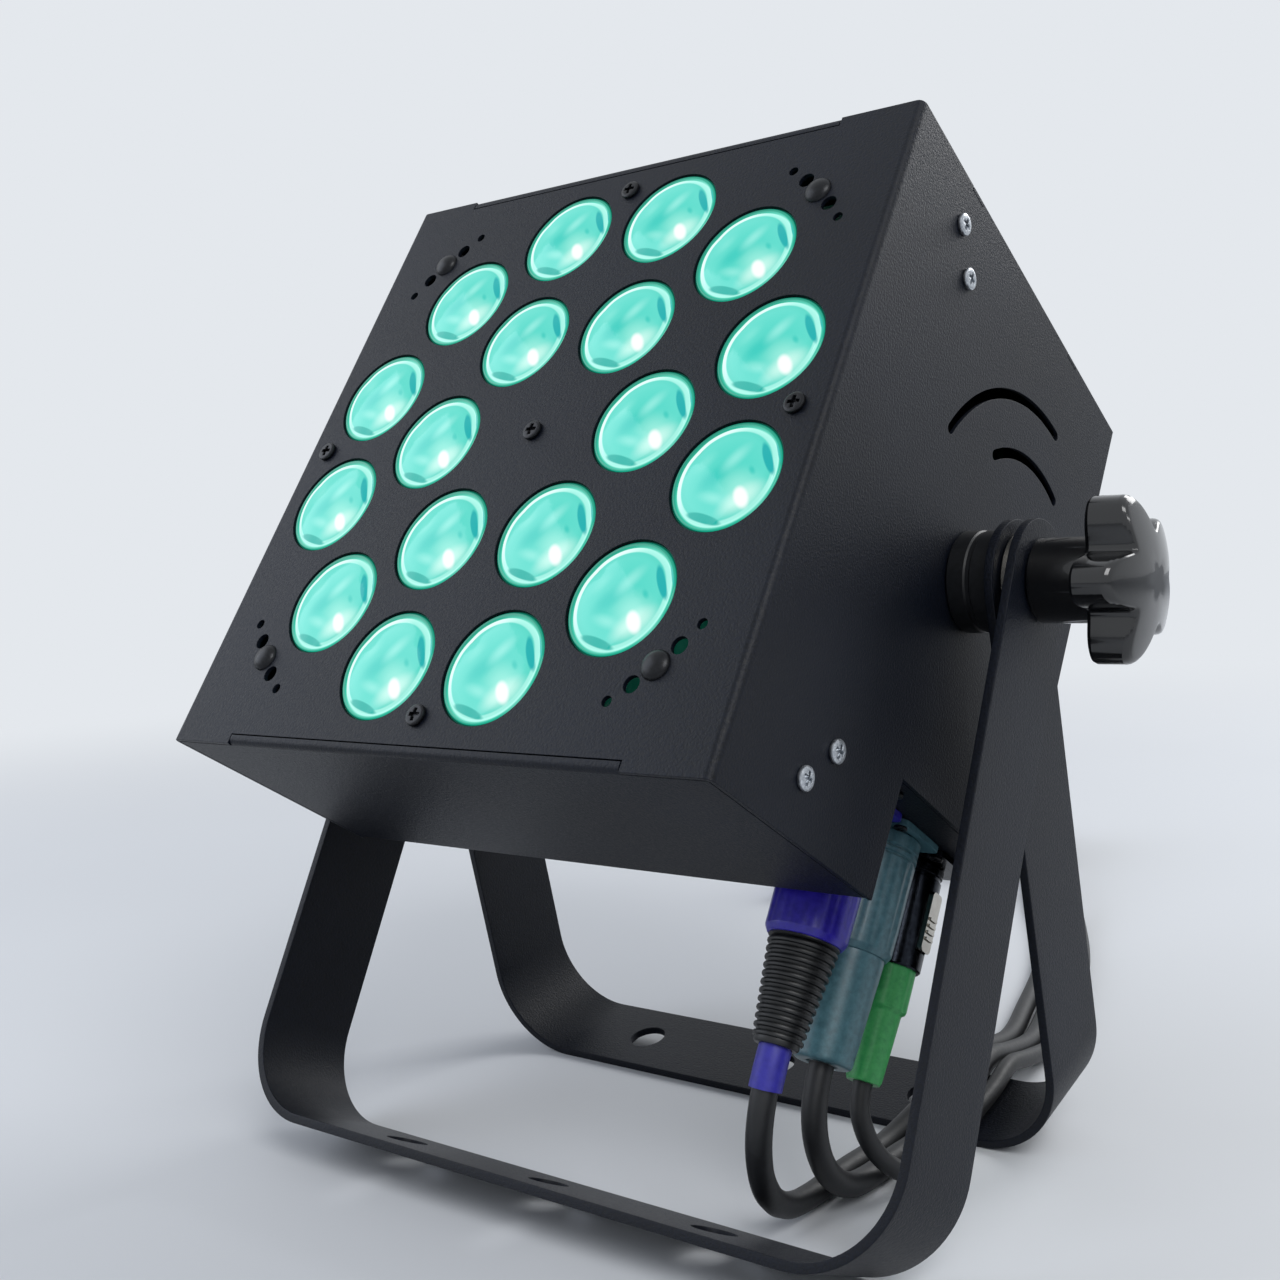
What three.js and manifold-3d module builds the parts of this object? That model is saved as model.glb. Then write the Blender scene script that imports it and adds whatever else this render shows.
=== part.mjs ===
// An LED wash light: a folded steel head with 18 lenses, between two flat steel yokes on which it stands.
// Millimetres, +Z up, the lenses towards -Y. The origin is on the floor, under the middle of the light.
import * as THREE from 'three';
import { mergeVertices } from 'three/addons/utils/BufferGeometryUtils.js';
import Module from 'manifold-3d';

const wasm = await Module();
wasm.setup();

// Driving dimensions of the head. Its own frame has y = 0 on the front face and z = 0 at mid height.
const HEAD_WIDTH = 216;
const HEAD_HEIGHT = 219;
const HEAD_DEPTH = 171;
const FOOT_DEPTH = 85;
const LEDGE_Z = -71;
const STEEL = 1.5;
const BEND = 2.5;
const GAP = 0.3;
const HEAD_TILT = 32.7;
const PIVOT_Y = 93;
const PIVOT_Z = -2;

// Lenses stand in two rings.
const LENS_BORE = 18.2;
const LENS_RADIUS = 17.7;
const LENS_END = 20;
const LENS_RINGS = [
  { count: 12, radius: 84.1, start: 15 },
  { count: 6, radius: 43.5, start: 0 },
];

// Yokes: a wide outer one in front and a narrower inner one behind, both of one flat steel strap.
const STRAP_WIDTH = 38;
const STRAP = 3;
const STRAP_BEND = 32;
const YOKE_SPREAD = 37.6;
const INNER_REACH = 125.7;
const INNER_LENGTH = 193;
const OUTER_REACH = 132.9;
const OUTER_LENGTH = 205;

// Pivot hardware.
const BOLT = 5;
const SPACER = 16;
const WASHER = 15;
const KNOB_NECK = 13;
const KNOB_RADIUS = 25.5;
const KNOB_GROOVE = 10.5;
const KNOB_LOBES = 5;
const KNOB_TURN = 180 + HEAD_TILT;
const KNOB_START = 133.3;
const KNOB_LENGTH = 36.2;
const STAR_FOOT = 18.7;

// Vents on each side, bent round a centre: radius, first and last angle. Notches in the sides' top edges.
const VENT_CENTRE = [124, 9];
const VENT_HALF = 1.75;
const VENTS = [[68, 87.5, 158.8], [48.6, 75.1, 134.4]];
const NOTCHES_Y = [41, 126];
const NOTCH_HALF = 4;
const NOTCH_DEPTH = 1.6;

// Connectors hang in one row under the ledge, at the right.
const ROW_X = 78;
const ROW_PITCH = 27;
const POWER_IN_Y = 103;
const POWER_LINK_Y = POWER_IN_Y + ROW_PITCH;
const DMX_IN_Y = POWER_LINK_Y + ROW_PITCH;
const SPARE_X = 42;
const FLANGE = 2;
const SOCKET_BARREL = 11.7;
const SOCKET_TOP = -50;
const POWER_BORE = 9.8;
const DMX_BORE = 8.2;
const FUSE_BARREL = 6.3;

// Fan and control panel at the rear.
const FAN_SIZE = 92;
const FAN_DEPTH = 25;
const FAN_Z = 22;
const CONTROL_Z = 89;
const BUTTON_X = [6, 24, 42, 60];
const LOUVRES = 9;
const LOUVRE_PITCH = 9;
const LOUVRE_HALF = 2;
const LOUVRE_REACH = 40;

// Cords.
const MAINS_CORD = 8;
const DMX_CORD = 6.4;
const TURN_GAP = 0.6;
const PILE_X = -100;
const PILE_Y = 412;

const HALF_WIDTH = HEAD_WIDTH / 2;
const HALF_HEIGHT = HEAD_HEIGHT / 2;
const INSIDE = HALF_WIDTH - STEEL - GAP;
const BOARD_FRONT = LENS_END + 1.3;
const REAR_INNER = HEAD_DEPTH - STEEL;
const LEDGE_UNDER = LEDGE_Z - STEEL;
const SOCKET_FACE = LEDGE_UNDER - GAP - FLANGE;
const rad = THREE.MathUtils.degToRad;

const paint = { color: 0x0b0c10, roughness: 0.55, metalness: 0.3 };
const blackPlastic = { color: 0x08080a, roughness: 0.35, metalness: 0 };
const aluminium = { color: 0x9a9da3, roughness: 0.4, metalness: 0.9 };
const lensAcrylic = { color: 0x59e0cb, roughness: 0.1, metalness: 0 };
const circuitBoard = { color: 0x12402a, roughness: 0.6, metalness: 0 };
const whiteBoard = { color: 0xe6e8e6, roughness: 0.6, metalness: 0 };
const nickel = { color: 0xb9b6ad, roughness: 0.3, metalness: 1 };
const bluePlastic = { color: 0x2a35b8, roughness: 0.45, metalness: 0 };
const greyPlastic = { color: 0x9aa3a3, roughness: 0.5, metalness: 0 };
const greenPlastic = { color: 0x35b04a, roughness: 0.5, metalness: 0 };
const rubber = { color: 0x0c0c0d, roughness: 0.75, metalness: 0 };

// A closed body from a geometry: corners merged, empty triangles dropped, faces turned outwards.
function solid(geometry) {
  const bare = geometry.clone();
  bare.deleteAttribute('normal');
  bare.deleteAttribute('uv');
  const merged = mergeVertices(bare, 1e-4);
  const points = Float32Array.from(merged.attributes.position.array);
  const index = Array.from(merged.index.array);
  const corners = [];
  let volume = 0;
  for (let i = 0; i < index.length; i += 3) {
    const [a, b, c] = index.slice(i, i + 3);
    if (a === b || b === c || a === c) continue;
    corners.push(a, b, c);
    const [p, q, r] = [a, b, c].map((k) => new THREE.Vector3().fromArray(points, 3 * k));
    volume += p.dot(q.cross(r));
  }
  if (volume < 0) corners.reverse();
  const triVerts = Uint32Array.from(corners);
  return new wasm.Manifold(new wasm.Mesh({ numProp: 3, vertProperties: points, triVerts }));
}

const join = (first, ...others) => others.reduce((body, other) => body.add(other), first);
const cut = (first, ...others) => others.reduce((body, other) => body.subtract(other), first);

function box(x0, x1, y0, y1, z0, z1) {
  const geometry = new THREE.BoxGeometry(x1 - x0, y1 - y0, z1 - z0);
  return solid(geometry.translate((x0 + x1) / 2, (y0 + y1) / 2, (z0 + z1) / 2));
}

// Turns a geometry made round the Y axis to stand round another, through a point of the other two.
function standing(geometry, axis, a, b) {
  if (axis === 'x') return geometry.rotateZ(-Math.PI / 2).translate(0, a, b);
  if (axis === 'z') return geometry.rotateX(Math.PI / 2).translate(a, b, 0);
  return geometry.translate(a, 0, b);
}

function rod(axis, radius, from, to, a, b, sides = 16) {
  const geometry = new THREE.CylinderGeometry(radius, radius, to - from, sides);
  return solid(standing(geometry.translate(0, (from + to) / 2, 0), axis, a, b));
}

// A turned body: its profile is [radius, place along the axis] from axis to axis.
function turned(axis, profile, a, b, sides = 16) {
  const points = profile.map(([radius, along]) => new THREE.Vector2(radius, along));
  return solid(standing(new THREE.LatheGeometry(points, sides), axis, a, b));
}

// A shape drawn in the two other axes, in their order, and extruded along the named one.
function prism(axis, shape, from, to, curveSegments = 8) {
  const depth = to - from;
  const geometry = new THREE.ExtrudeGeometry(shape, { depth, bevelEnabled: false, curveSegments });
  const [x, y, z] = [new THREE.Vector3(1, 0, 0), new THREE.Vector3(0, 1, 0), new THREE.Vector3(0, 0, 1)];
  if (axis === 'x') geometry.applyMatrix4(new THREE.Matrix4().makeBasis(y, z, x)).translate(from, 0, 0);
  if (axis === 'y') {
    geometry.applyMatrix4(new THREE.Matrix4().makeBasis(x, z, y.negate())).translate(0, to, 0);
  }
  if (axis === 'z') geometry.translate(0, 0, from);
  return solid(geometry);
}

function add(group, name, look, body) {
  const mesh = body.getMesh();
  const geometry = new THREE.BufferGeometry();
  geometry.setAttribute('position', new THREE.BufferAttribute(mesh.vertProperties, mesh.numProp));
  geometry.setIndex(new THREE.BufferAttribute(mesh.triVerts, 1));
  const piece = new THREE.Mesh(geometry, new THREE.MeshStandardMaterial(look));
  piece.name = name;
  group.add(piece);
  return piece;
}

// Where each lens stands on the front face.
function lensPlaces() {
  const places = [];
  for (const { count, radius, start } of LENS_RINGS) {
    for (let k = 0; k < count; k += 1) {
      const angle = rad(start + (360 / count) * k);
      places.push([radius * Math.cos(angle), radius * Math.sin(angle)]);
    }
  }
  return places;
}

// Front face and both sides are one sheet, folded at two rounded bends.
function shellProfile() {
  const [outer, inner, turn] = [HALF_WIDTH, HALF_WIDTH - STEEL, HALF_WIDTH - BEND];
  const shape = new THREE.Shape();
  shape.moveTo(-outer, HEAD_DEPTH);
  shape.lineTo(-outer, BEND);
  shape.absarc(-turn, BEND, BEND, Math.PI, 1.5 * Math.PI, false);
  shape.absarc(turn, BEND, BEND, 1.5 * Math.PI, 2 * Math.PI, false);
  shape.lineTo(outer, HEAD_DEPTH);
  shape.lineTo(inner, HEAD_DEPTH);
  shape.absarc(turn, BEND, BEND - STEEL, 0, -0.5 * Math.PI, true);
  shape.absarc(-turn, BEND, BEND - STEEL, 1.5 * Math.PI, Math.PI, true);
  shape.lineTo(-inner, HEAD_DEPTH);
  return shape;
}

// A vent through both sides, bent round its centre.
function vent([radius, from, to]) {
  const shape = new THREE.Shape();
  shape.absarc(...VENT_CENTRE, radius + VENT_HALF, rad(from), rad(to), false);
  shape.absarc(...VENT_CENTRE, radius - VENT_HALF, rad(to), rad(from), true);
  return prism('x', shape, -HALF_WIDTH - 1, HALF_WIDTH + 1, 9);
}

// Round each corner of the front face lie four small holes, two on either side of a rivet.
function cornerHoles() {
  const [ring, near, far] = [112.8, 4.1, 8.2];
  const holes = [];
  for (const corner of [45, 135, 225, 315]) {
    for (const [off, radius] of [[-far, 1.6], [-near, 2.6], [near, 2.6], [far, 1.6]]) {
      const angle = rad(corner + off);
      const [x, z] = [ring * Math.cos(angle), ring * Math.sin(angle)];
      holes.push(rod('y', radius, -1, STEEL + 1, x, z, 8));
    }
  }
  return holes;
}

const TONGUE = 79;
const TONGUE_LIP = 3;

function frontShell() {
  let body = prism('z', shellProfile(), -HALF_HEIGHT, HALF_HEIGHT, 3);
  const wide = HALF_WIDTH + 1;
  body = cut(body, box(-wide, wide, FOOT_DEPTH, HEAD_DEPTH + 1, -HALF_HEIGHT - 1, LEDGE_UNDER));
  for (const [x, z] of lensPlaces()) body = cut(body, rod('y', LENS_BORE, -1, STEEL + 1, x, z, 20));
  const lip = TONGUE + GAP;
  const notch = HALF_HEIGHT - TONGUE_LIP - GAP;
  body = cut(body, box(-lip, lip, -1, STEEL + 1, notch, HALF_HEIGHT + 1));
  body = cut(body, box(-lip, lip, -1, STEEL + 1, -HALF_HEIGHT - 1, -notch));
  for (const y of NOTCHES_Y) {
    const [y0, y1] = [y - NOTCH_HALF, y + NOTCH_HALF];
    body = cut(body, box(-wide, wide, y0, y1, HALF_HEIGHT - NOTCH_DEPTH, HALF_HEIGHT + 1));
  }
  body = cut(body, rod('x', BOLT + 0.6, -wide, wide, PIVOT_Y, PIVOT_Z, 16));
  return cut(body, ...VENTS.map(vent), ...cornerHoles());
}

function topPanel() {
  const top = HALF_HEIGHT;
  const plate = box(-INSIDE, INSIDE, STEEL + GAP, HEAD_DEPTH, top - STEEL, top);
  const neck = box(-TONGUE, TONGUE, 0, STEEL + 1, top - STEEL, top);
  return join(plate, neck, box(-TONGUE, TONGUE, 0, STEEL, top - TONGUE_LIP, top));
}

// The bottom panel folds up behind the foot, to just under the ledge.
function bottomPanel() {
  const low = -HALF_HEIGHT;
  const plate = box(-INSIDE, INSIDE, STEEL + GAP, FOOT_DEPTH, low, low + STEEL);
  const neck = box(-TONGUE, TONGUE, 0, STEEL + 1, low, low + STEEL);
  const lip = box(-TONGUE, TONGUE, 0, STEEL, low, low + TONGUE_LIP);
  return join(plate, neck, lip, box(-INSIDE, INSIDE, FOOT_DEPTH - STEEL, FOOT_DEPTH, low, LEDGE_UNDER - GAP));
}

function connectorLedge() {
  const [under, over] = [LEDGE_UNDER - 1, LEDGE_Z + 1];
  let body = box(-INSIDE, INSIDE, FOOT_DEPTH - STEEL, HEAD_DEPTH, LEDGE_UNDER, LEDGE_Z);
  for (const [x, y] of [[ROW_X, POWER_IN_Y], [ROW_X, POWER_LINK_Y], [ROW_X, DMX_IN_Y], [SPARE_X, DMX_IN_Y]]) {
    body = cut(body, rod('z', SOCKET_BARREL + GAP, under, over, x, y, 20));
  }
  return cut(body, rod('z', FUSE_BARREL + GAP, under, over, SPARE_X, POWER_IN_Y, 16));
}

const WINDOW = { x0: -62, x1: -12, z0: CONTROL_Z - 9, z1: CONTROL_Z + 9 };
const BUTTON = 3.6;

function rearPanel() {
  let body = box(-INSIDE, INSIDE, REAR_INNER, HEAD_DEPTH, LEDGE_Z + GAP, HALF_HEIGHT - STEEL - GAP);
  const [before, behind] = [REAR_INNER - 1, HEAD_DEPTH + 1];
  body = cut(body, box(WINDOW.x0, WINDOW.x1, before, behind, WINDOW.z0, WINDOW.z1));
  for (const x of BUTTON_X) body = cut(body, rod('y', BUTTON + 0.4, before, behind, x, CONTROL_Z, 16));
  for (let k = 0; k < LOUVRES; k += 1) {
    const height = (k - (LOUVRES - 1) / 2) * LOUVRE_PITCH;
    const half = Math.sqrt(LOUVRE_REACH ** 2 - height ** 2);
    const [z0, z1] = [FAN_Z + height - LOUVRE_HALF, FAN_Z + height + LOUVRE_HALF];
    body = cut(body, box(-half, half, before, behind, z0, z1));
  }
  return body;
}

// A collimator lens: a shallow domed face, a flange in the front sheet and a cone down to its LED.
function lens(x, z) {
  const face = [[0, -1.4], [10, -0.9], [LENS_RADIUS, 0.5], [LENS_RADIUS, 3.4]];
  return turned('y', [...face, [6, LENS_END], [0, LENS_END]], x, z, 16);
}

// A square board with one LED under each lens.
function ledBoard() {
  const [half, thick, chip] = [96, 1.6, 2.5];
  let body = box(-half, half, BOARD_FRONT, BOARD_FRONT + thick, -half, half);
  for (const [x, z] of lensPlaces()) {
    body = join(body, box(x - chip, x + chip, LENS_END + GAP, BOARD_FRONT + 0.5, z - chip, z + chip));
  }
  return body;
}

// Extruded aluminium: a thick back with fins that point to the rear.
function heatsink() {
  const [half, back, root, tip] = [75, BOARD_FRONT + 1.9, BOARD_FRONT + 8, 80];
  const [fins, pitch, thick] = [13, 12, 2];
  const shape = new THREE.Shape();
  shape.moveTo(-half, back);
  shape.lineTo(half, back);
  shape.lineTo(half, root);
  for (let k = fins - 1; k >= 0; k -= 1) {
    const middle = (k - (fins - 1) / 2) * pitch;
    shape.lineTo(middle + thick / 2, root);
    shape.lineTo(middle + thick / 2, tip);
    shape.lineTo(middle - thick / 2, tip);
    shape.lineTo(middle - thick / 2, root);
  }
  shape.lineTo(-half, root);
  return prism('z', shape, -half, half);
}

const FAN_FRONT = REAR_INNER - GAP - FAN_DEPTH;
const FAN_BORE = 43;
const HUB = 18;

function fanFrame() {
  const [half, front] = [FAN_SIZE / 2, FAN_FRONT];
  let body = box(-half, half, front, front + FAN_DEPTH, FAN_Z - half, FAN_Z + half);
  body = cut(body, rod('y', FAN_BORE, front - 1, front + FAN_DEPTH + 1, 0, FAN_Z, 32));
  const arm = FAN_BORE + 1;
  body = join(body, box(-arm, arm, front, front + 3, FAN_Z - 2, FAN_Z + 2));
  body = join(body, box(-2, 2, front, front + 3, FAN_Z - arm, FAN_Z + arm));
  return join(body, rod('y', HUB + 1, front, front + 3, 0, FAN_Z, 20));
}

function fanRotor() {
  const front = FAN_FRONT + 3.6;
  let body = rod('y', HUB, front, front + 18, 0, FAN_Z, 20);
  const blades = 7;
  for (let k = 0; k < blades; k += 1) {
    const blade = new THREE.BoxGeometry(FAN_BORE - HUB, 1.6, 15);
    blade.rotateX(rad(52)).translate((FAN_BORE + HUB) / 2 - 1.5, 0, 0);
    blade.rotateY((2 * Math.PI * k) / blades).translate(0, front + 9, FAN_Z);
    body = join(body, solid(blade));
  }
  return body;
}

// Power supply board over the ledge: a transformer, two capacitors and a cooled transistor block.
function driverBoard() {
  const [low, top] = [-46, -44.4];
  const plate = box(-95, 95, 92, 141, low, top);
  const transformer = box(-70, -34, 98, 132, top - 0.5, top + 18);
  const block = box(-20, 0, 98, 130, top - 0.5, top + 12);
  const capacitors = [22, 44].map((x) => rod('z', 9, top - 0.5, top + 16, x, 116, 12));
  return join(plate, transformer, block, ...capacitors);
}

// Control board: the display block behind the window and one switch behind each button.
const SWITCH_TOP = 162.6;
const BUTTON_TRAVEL = 0.8;

function controlBoard() {
  const [front, back, displayFace] = [158, 159.6, REAR_INNER - 1.7];
  let body = box(-70, 70, front, back, CONTROL_Z - 13, CONTROL_Z + 13);
  body = join(body, box(WINDOW.x0 + 2, WINDOW.x1 - 2, back - 0.5, displayFace, WINDOW.z0 + 1, WINDOW.z1 - 1));
  for (const x of BUTTON_X) {
    body = join(body, box(x - 3, x + 3, back - 0.5, SWITCH_TOP, CONTROL_Z - 3, CONTROL_Z + 3));
  }
  return body;
}

function displayWindow() {
  const [x0, x1, z0, z1] = [WINDOW.x0 + GAP, WINDOW.x1 - GAP, WINDOW.z0 + GAP, WINDOW.z1 - GAP];
  return box(x0, x1, REAR_INNER - 1, HEAD_DEPTH - 0.3, z0, z1);
}

// A key cap with a collar behind the panel, so that it can't fall out. Its stem ends just over the switch.
function menuButton(x) {
  const collar = rod('y', BUTTON + 1.6, REAR_INNER - 3, REAR_INNER - GAP, x, CONTROL_Z, 12);
  return join(rod('y', BUTTON, SWITCH_TOP + BUTTON_TRAVEL + 0.1, HEAD_DEPTH + 1.5, x, CONTROL_Z, 16), collar);
}

// A chassis socket: a square flange under the ledge and a barrel up through it, bored from below.
function socket(x, y, bore) {
  const [halfX, halfY, floor] = [15.5, 13, SOCKET_TOP - 9];
  const plate = box(x - halfX, x + halfX, y - halfY, y + halfY, SOCKET_FACE, SOCKET_FACE + FLANGE);
  const body = join(plate, rod('z', SOCKET_BARREL, SOCKET_FACE + 1, SOCKET_TOP, x, y, 20));
  return cut(body, rod('z', bore, SOCKET_FACE - 1, floor, x, y, 16));
}

function fuseHolder() {
  const cap = SOCKET_FACE - 6;
  const profile = [[0, cap], [7, cap], [7.5, cap + 1.5], [7.5, SOCKET_FACE], [8.5, SOCKET_FACE + 0.4]];
  profile.push([8.5, SOCKET_FACE + FLANGE], [FUSE_BARREL, SOCKET_FACE + FLANGE]);
  profile.push([FUSE_BARREL, SOCKET_TOP], [0, SOCKET_TOP]);
  return turned('z', profile, SPARE_X, POWER_IN_Y, 16);
}

// A locking mains plug hanging from a socket: nose, round body and a tapered boot.
const PLUG_BODY_END = -119.5;
const PLUG_BOOT_END = -151;
const PLUG_BOOT_TIP = 6.4;
const LINK_BODY_END = -114.5;
const LINK_BOOT_END = -149;
const LINK_BOOT_TIP = 9.2;
const DMX_SHELL_END = -110.5;
const DMX_BOOT_END = -148;

function powerPlug(y, bodyEnd, bootEnd, tip) {
  const face = SOCKET_FACE;
  const profile = [[0, face + 14], [9.4, face + 14], [9.4, face - GAP], [13.3, face - GAP]];
  profile.push([13.3, bodyEnd + 2], [11.6, bodyEnd], [11, bodyEnd - 4], [tip, bootEnd], [0, bootEnd]);
  return turned('z', profile, ROW_X, y, 16);
}

const DMX_SHELL = 9.6;
const LATCH = { y: 3.2, z0: -104, z1: -84, inner: 6.6, outer: 11.4, play: 1.5 };

function dmxPlug() {
  const face = SOCKET_FACE;
  const profile = [[0, face + 12], [7.8, face + 12], [7.8, face - GAP], [DMX_SHELL, face - GAP]];
  profile.push([DMX_SHELL, DMX_SHELL_END], [8, DMX_SHELL_END - 1]);
  profile.push([7.6, -130], [5.4, DMX_BOOT_END], [0, DMX_BOOT_END]);
  const half = LATCH.y + GAP;
  const [x0, x1] = [ROW_X + LATCH.inner - LATCH.play, ROW_X + LATCH.outer + 2];
  const pocket = box(x0, x1, DMX_IN_Y - half, DMX_IN_Y + half, LATCH.z0 - GAP, LATCH.z1 + GAP);
  return cut(turned('z', profile, ROW_X, DMX_IN_Y, 16), pocket);
}

// The release key in the plug's shell, with room behind it for its travel.
function dmxLatch() {
  const { y, z0, z1, inner, outer } = LATCH;
  return box(ROW_X + inner, ROW_X + outer, DMX_IN_Y - y, DMX_IN_Y + y, z0, z1);
}

// One yoke in its own frame: pivot axis along X through the origin, arms hanging down, strap across below.
function yoke(reach, length, holes) {
  const half = STRAP_WIDTH / 2;
  const top = half + 1;
  const shape = new THREE.Shape();
  shape.moveTo(-reach, top);
  shape.lineTo(-reach, STRAP_BEND - length);
  shape.absarc(STRAP_BEND - reach, STRAP_BEND - length, STRAP_BEND, Math.PI, 1.5 * Math.PI, false);
  shape.absarc(reach - STRAP_BEND, STRAP_BEND - length, STRAP_BEND, 1.5 * Math.PI, 2 * Math.PI, false);
  shape.lineTo(reach, top);
  shape.lineTo(reach - STRAP, top);
  shape.absarc(reach - STRAP_BEND, STRAP_BEND - length, STRAP_BEND - STRAP, 0, -0.5 * Math.PI, true);
  shape.absarc(STRAP_BEND - reach, STRAP_BEND - length, STRAP_BEND - STRAP, 1.5 * Math.PI, Math.PI, true);
  shape.lineTo(STRAP - reach, top);
  const outline = new THREE.Shape();
  outline.moveTo(-half, -length - 1);
  outline.lineTo(half, -length - 1);
  outline.absarc(0, 0, half, 0, Math.PI, false);
  const wide = reach + 1;
  let body = prism('y', shape, -half, half, 8).intersect(prism('x', outline, -wide, wide, 12));
  body = cut(body, rod('x', BOLT + 0.4, -wide, wide, 0, 0, 16));
  const [under, over] = [-length - 1, STRAP - length + 1];
  for (const [x, radius] of holes) body = cut(body, rod('z', radius, under, over, x, 0, 16));
  return body;
}

function tube(radius, bore, from, to) {
  return cut(rod('x', radius, from, to, 0, 0, 24), rod('x', bore, from - 1, to + 1, 0, 0, 16));
}

// A star grip with its bolt, for the right side: a long neck, five narrow lobes and a domed end.
function starKnob() {
  const outline = new THREE.Shape();
  const steps = KNOB_LOBES * 10;
  for (let k = 0; k < steps; k += 1) {
    const angle = rad(KNOB_TURN + (360 * k) / steps);
    const groove = 0.5 - 0.5 * Math.cos((2 * Math.PI * k * KNOB_LOBES) / steps);
    const radius = KNOB_RADIUS - KNOB_GROOVE * groove ** 1.25;
    const [y, z] = [radius * Math.cos(angle), radius * Math.sin(angle)];
    if (k === 0) outline.moveTo(y, z);
    else outline.lineTo(y, z);
  }
  const [start, end] = [KNOB_START, KNOB_START + KNOB_LENGTH];
  const foot = start + STAR_FOOT;
  const star = prism('x', outline, foot, end, 1);
  const dome = [[0, foot - 1], [30, foot - 1], [30, end - 8], [25.5, end - 5.6], [19, end - 3]];
  dome.push([10, end - 0.8], [0, end]);
  const grip = star.intersect(turned('x', dome, 0, 0, 24));
  const neck = rod('x', KNOB_NECK, start, foot + 0.5, 0, 0, 20);
  return join(grip, neck, rod('x', BOLT, 100, start + 1, 0, 0, 16));
}

// A length of one curve, from one distance along it to another.
class Stretch extends THREE.Curve {
  constructor(whole, from, to) {
    super();
    Object.assign(this, { whole, from, to });
  }

  getPoint(t, target = new THREE.Vector3()) {
    const length = this.whole.getLength();
    return target.copy(this.whole.getPointAt((this.from + (this.to - this.from) * t) / length));
  }
}

function swept(path, diameter, steps, sides) {
  const section = new THREE.Shape();
  for (let k = 0; k < sides; k += 1) {
    const angle = (2 * Math.PI * k) / sides;
    const [x, y] = [(diameter / 2) * Math.cos(angle), (diameter / 2) * Math.sin(angle)];
    if (k === 0) section.moveTo(x, y);
    else section.lineTo(x, y);
  }
  return solid(new THREE.ExtrudeGeometry(section, { steps, bevelEnabled: false, extrudePath: path }));
}

// The turns of a coil: they spiral in below, climb in the half turn where they reverse, and spiral out above.
function coilTurns(radius, diameter, turns, base) {
  const pitch = diameter + TURN_GAP;
  const layer = (turns - 0.5) / 2;
  const outer = radius + (pitch * layer) / 2 + pitch / 8;
  const count = Math.round(turns * 24);
  const points = [];
  for (let k = 0; k <= count; k += 1) {
    const turn = (turns * k) / count;
    const inward = Math.min(turn, turns - turn);
    const climb = THREE.MathUtils.clamp((turn - layer) / 0.5, 0, 1);
    const r = outer - pitch * inward;
    const angle = 2 * Math.PI * turn;
    points.push([PILE_X + r * Math.cos(angle), PILE_Y + r * Math.sin(angle), base + pitch * climb]);
  }
  return points;
}

// Least clear space between turns of a coil, measured between points that are not next to each other.
function leastGap(points, diameter) {
  const step = new THREE.Vector3(...points[0]).distanceTo(new THREE.Vector3(...points[1]));
  const apart = Math.ceil((3 * diameter) / step);
  let least = Infinity;
  for (let i = 0; i < points.length; i += 1) {
    for (let j = i + apart; j < points.length; j += 1) {
      least = Math.min(least, Math.hypot(...points[i].map((value, k) => value - points[j][k])));
    }
  }
  return least - diameter;
}

// Builds a cord from its route on the floor, its coil on the pile and its tail to the far plug.
function cord(group, name, { route, coil, tail, diameter, steps }) {
  const turns = coilTurns(coil.radius, diameter, coil.turns, coil.base);
  const points = [...route, ...turns, ...tail].map((p) => new THREE.Vector3(...p));
  const whole = new THREE.CatmullRomCurve3(points, false, 'centripetal');
  whole.arcLengthDivisions = 4000;
  const length = whole.getLength();
  const onFloor = points.slice(0, route.length + 1);
  const first = new THREE.CatmullRomCurve3(onFloor, false, 'centripetal').getLength();
  const free = swept(new Stretch(whole, GAP, first - GAP / 2), diameter, steps, 8);
  add(group, `${name}_cord`, rubber, free);
  const wound = new Stretch(whole, first + GAP / 2, length - GAP);
  const extra = Math.round((length - first) / (2 * Math.PI * coil.radius) * 24);
  add(group, `${name}_coil`, rubber, swept(wound, diameter, extra, 6));
  const gap = leastGap(turns, diameter);
  const lengths = `length ${length.toFixed(1)} mm, free ${first.toFixed(1)} mm`;
  console.log(`${name}: ${lengths}, least gap ${gap.toFixed(2)} mm`);
}

const tilt = rad(HEAD_TILT);
const spread = rad(YOKE_SPREAD);
const halfStrap = STRAP_WIDTH / 2;

// Both straps stand on one edge each, which sets how far the rear arms lean back, and the pivot's height.
const lean = Math.atan2(
  -(OUTER_LENGTH * Math.cos(spread) + halfStrap * Math.sin(spread) - INNER_LENGTH),
  -(halfStrap + halfStrap * Math.cos(spread) - OUTER_LENGTH * Math.sin(spread)),
);
const PIVOT_HEIGHT = INNER_LENGTH * Math.cos(lean) + halfStrap * Math.sin(lean);

// A point of the head in the floor frame, which is the light's own frame before it is centred.
function toFloor(x, y, z) {
  const [dy, dz] = [y - PIVOT_Y, z - PIVOT_Z];
  const [c, s] = [Math.cos(tilt), Math.sin(tilt)];
  return [x, c * dy + s * dz, PIVOT_HEIGHT - s * dy + c * dz];
}

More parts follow.
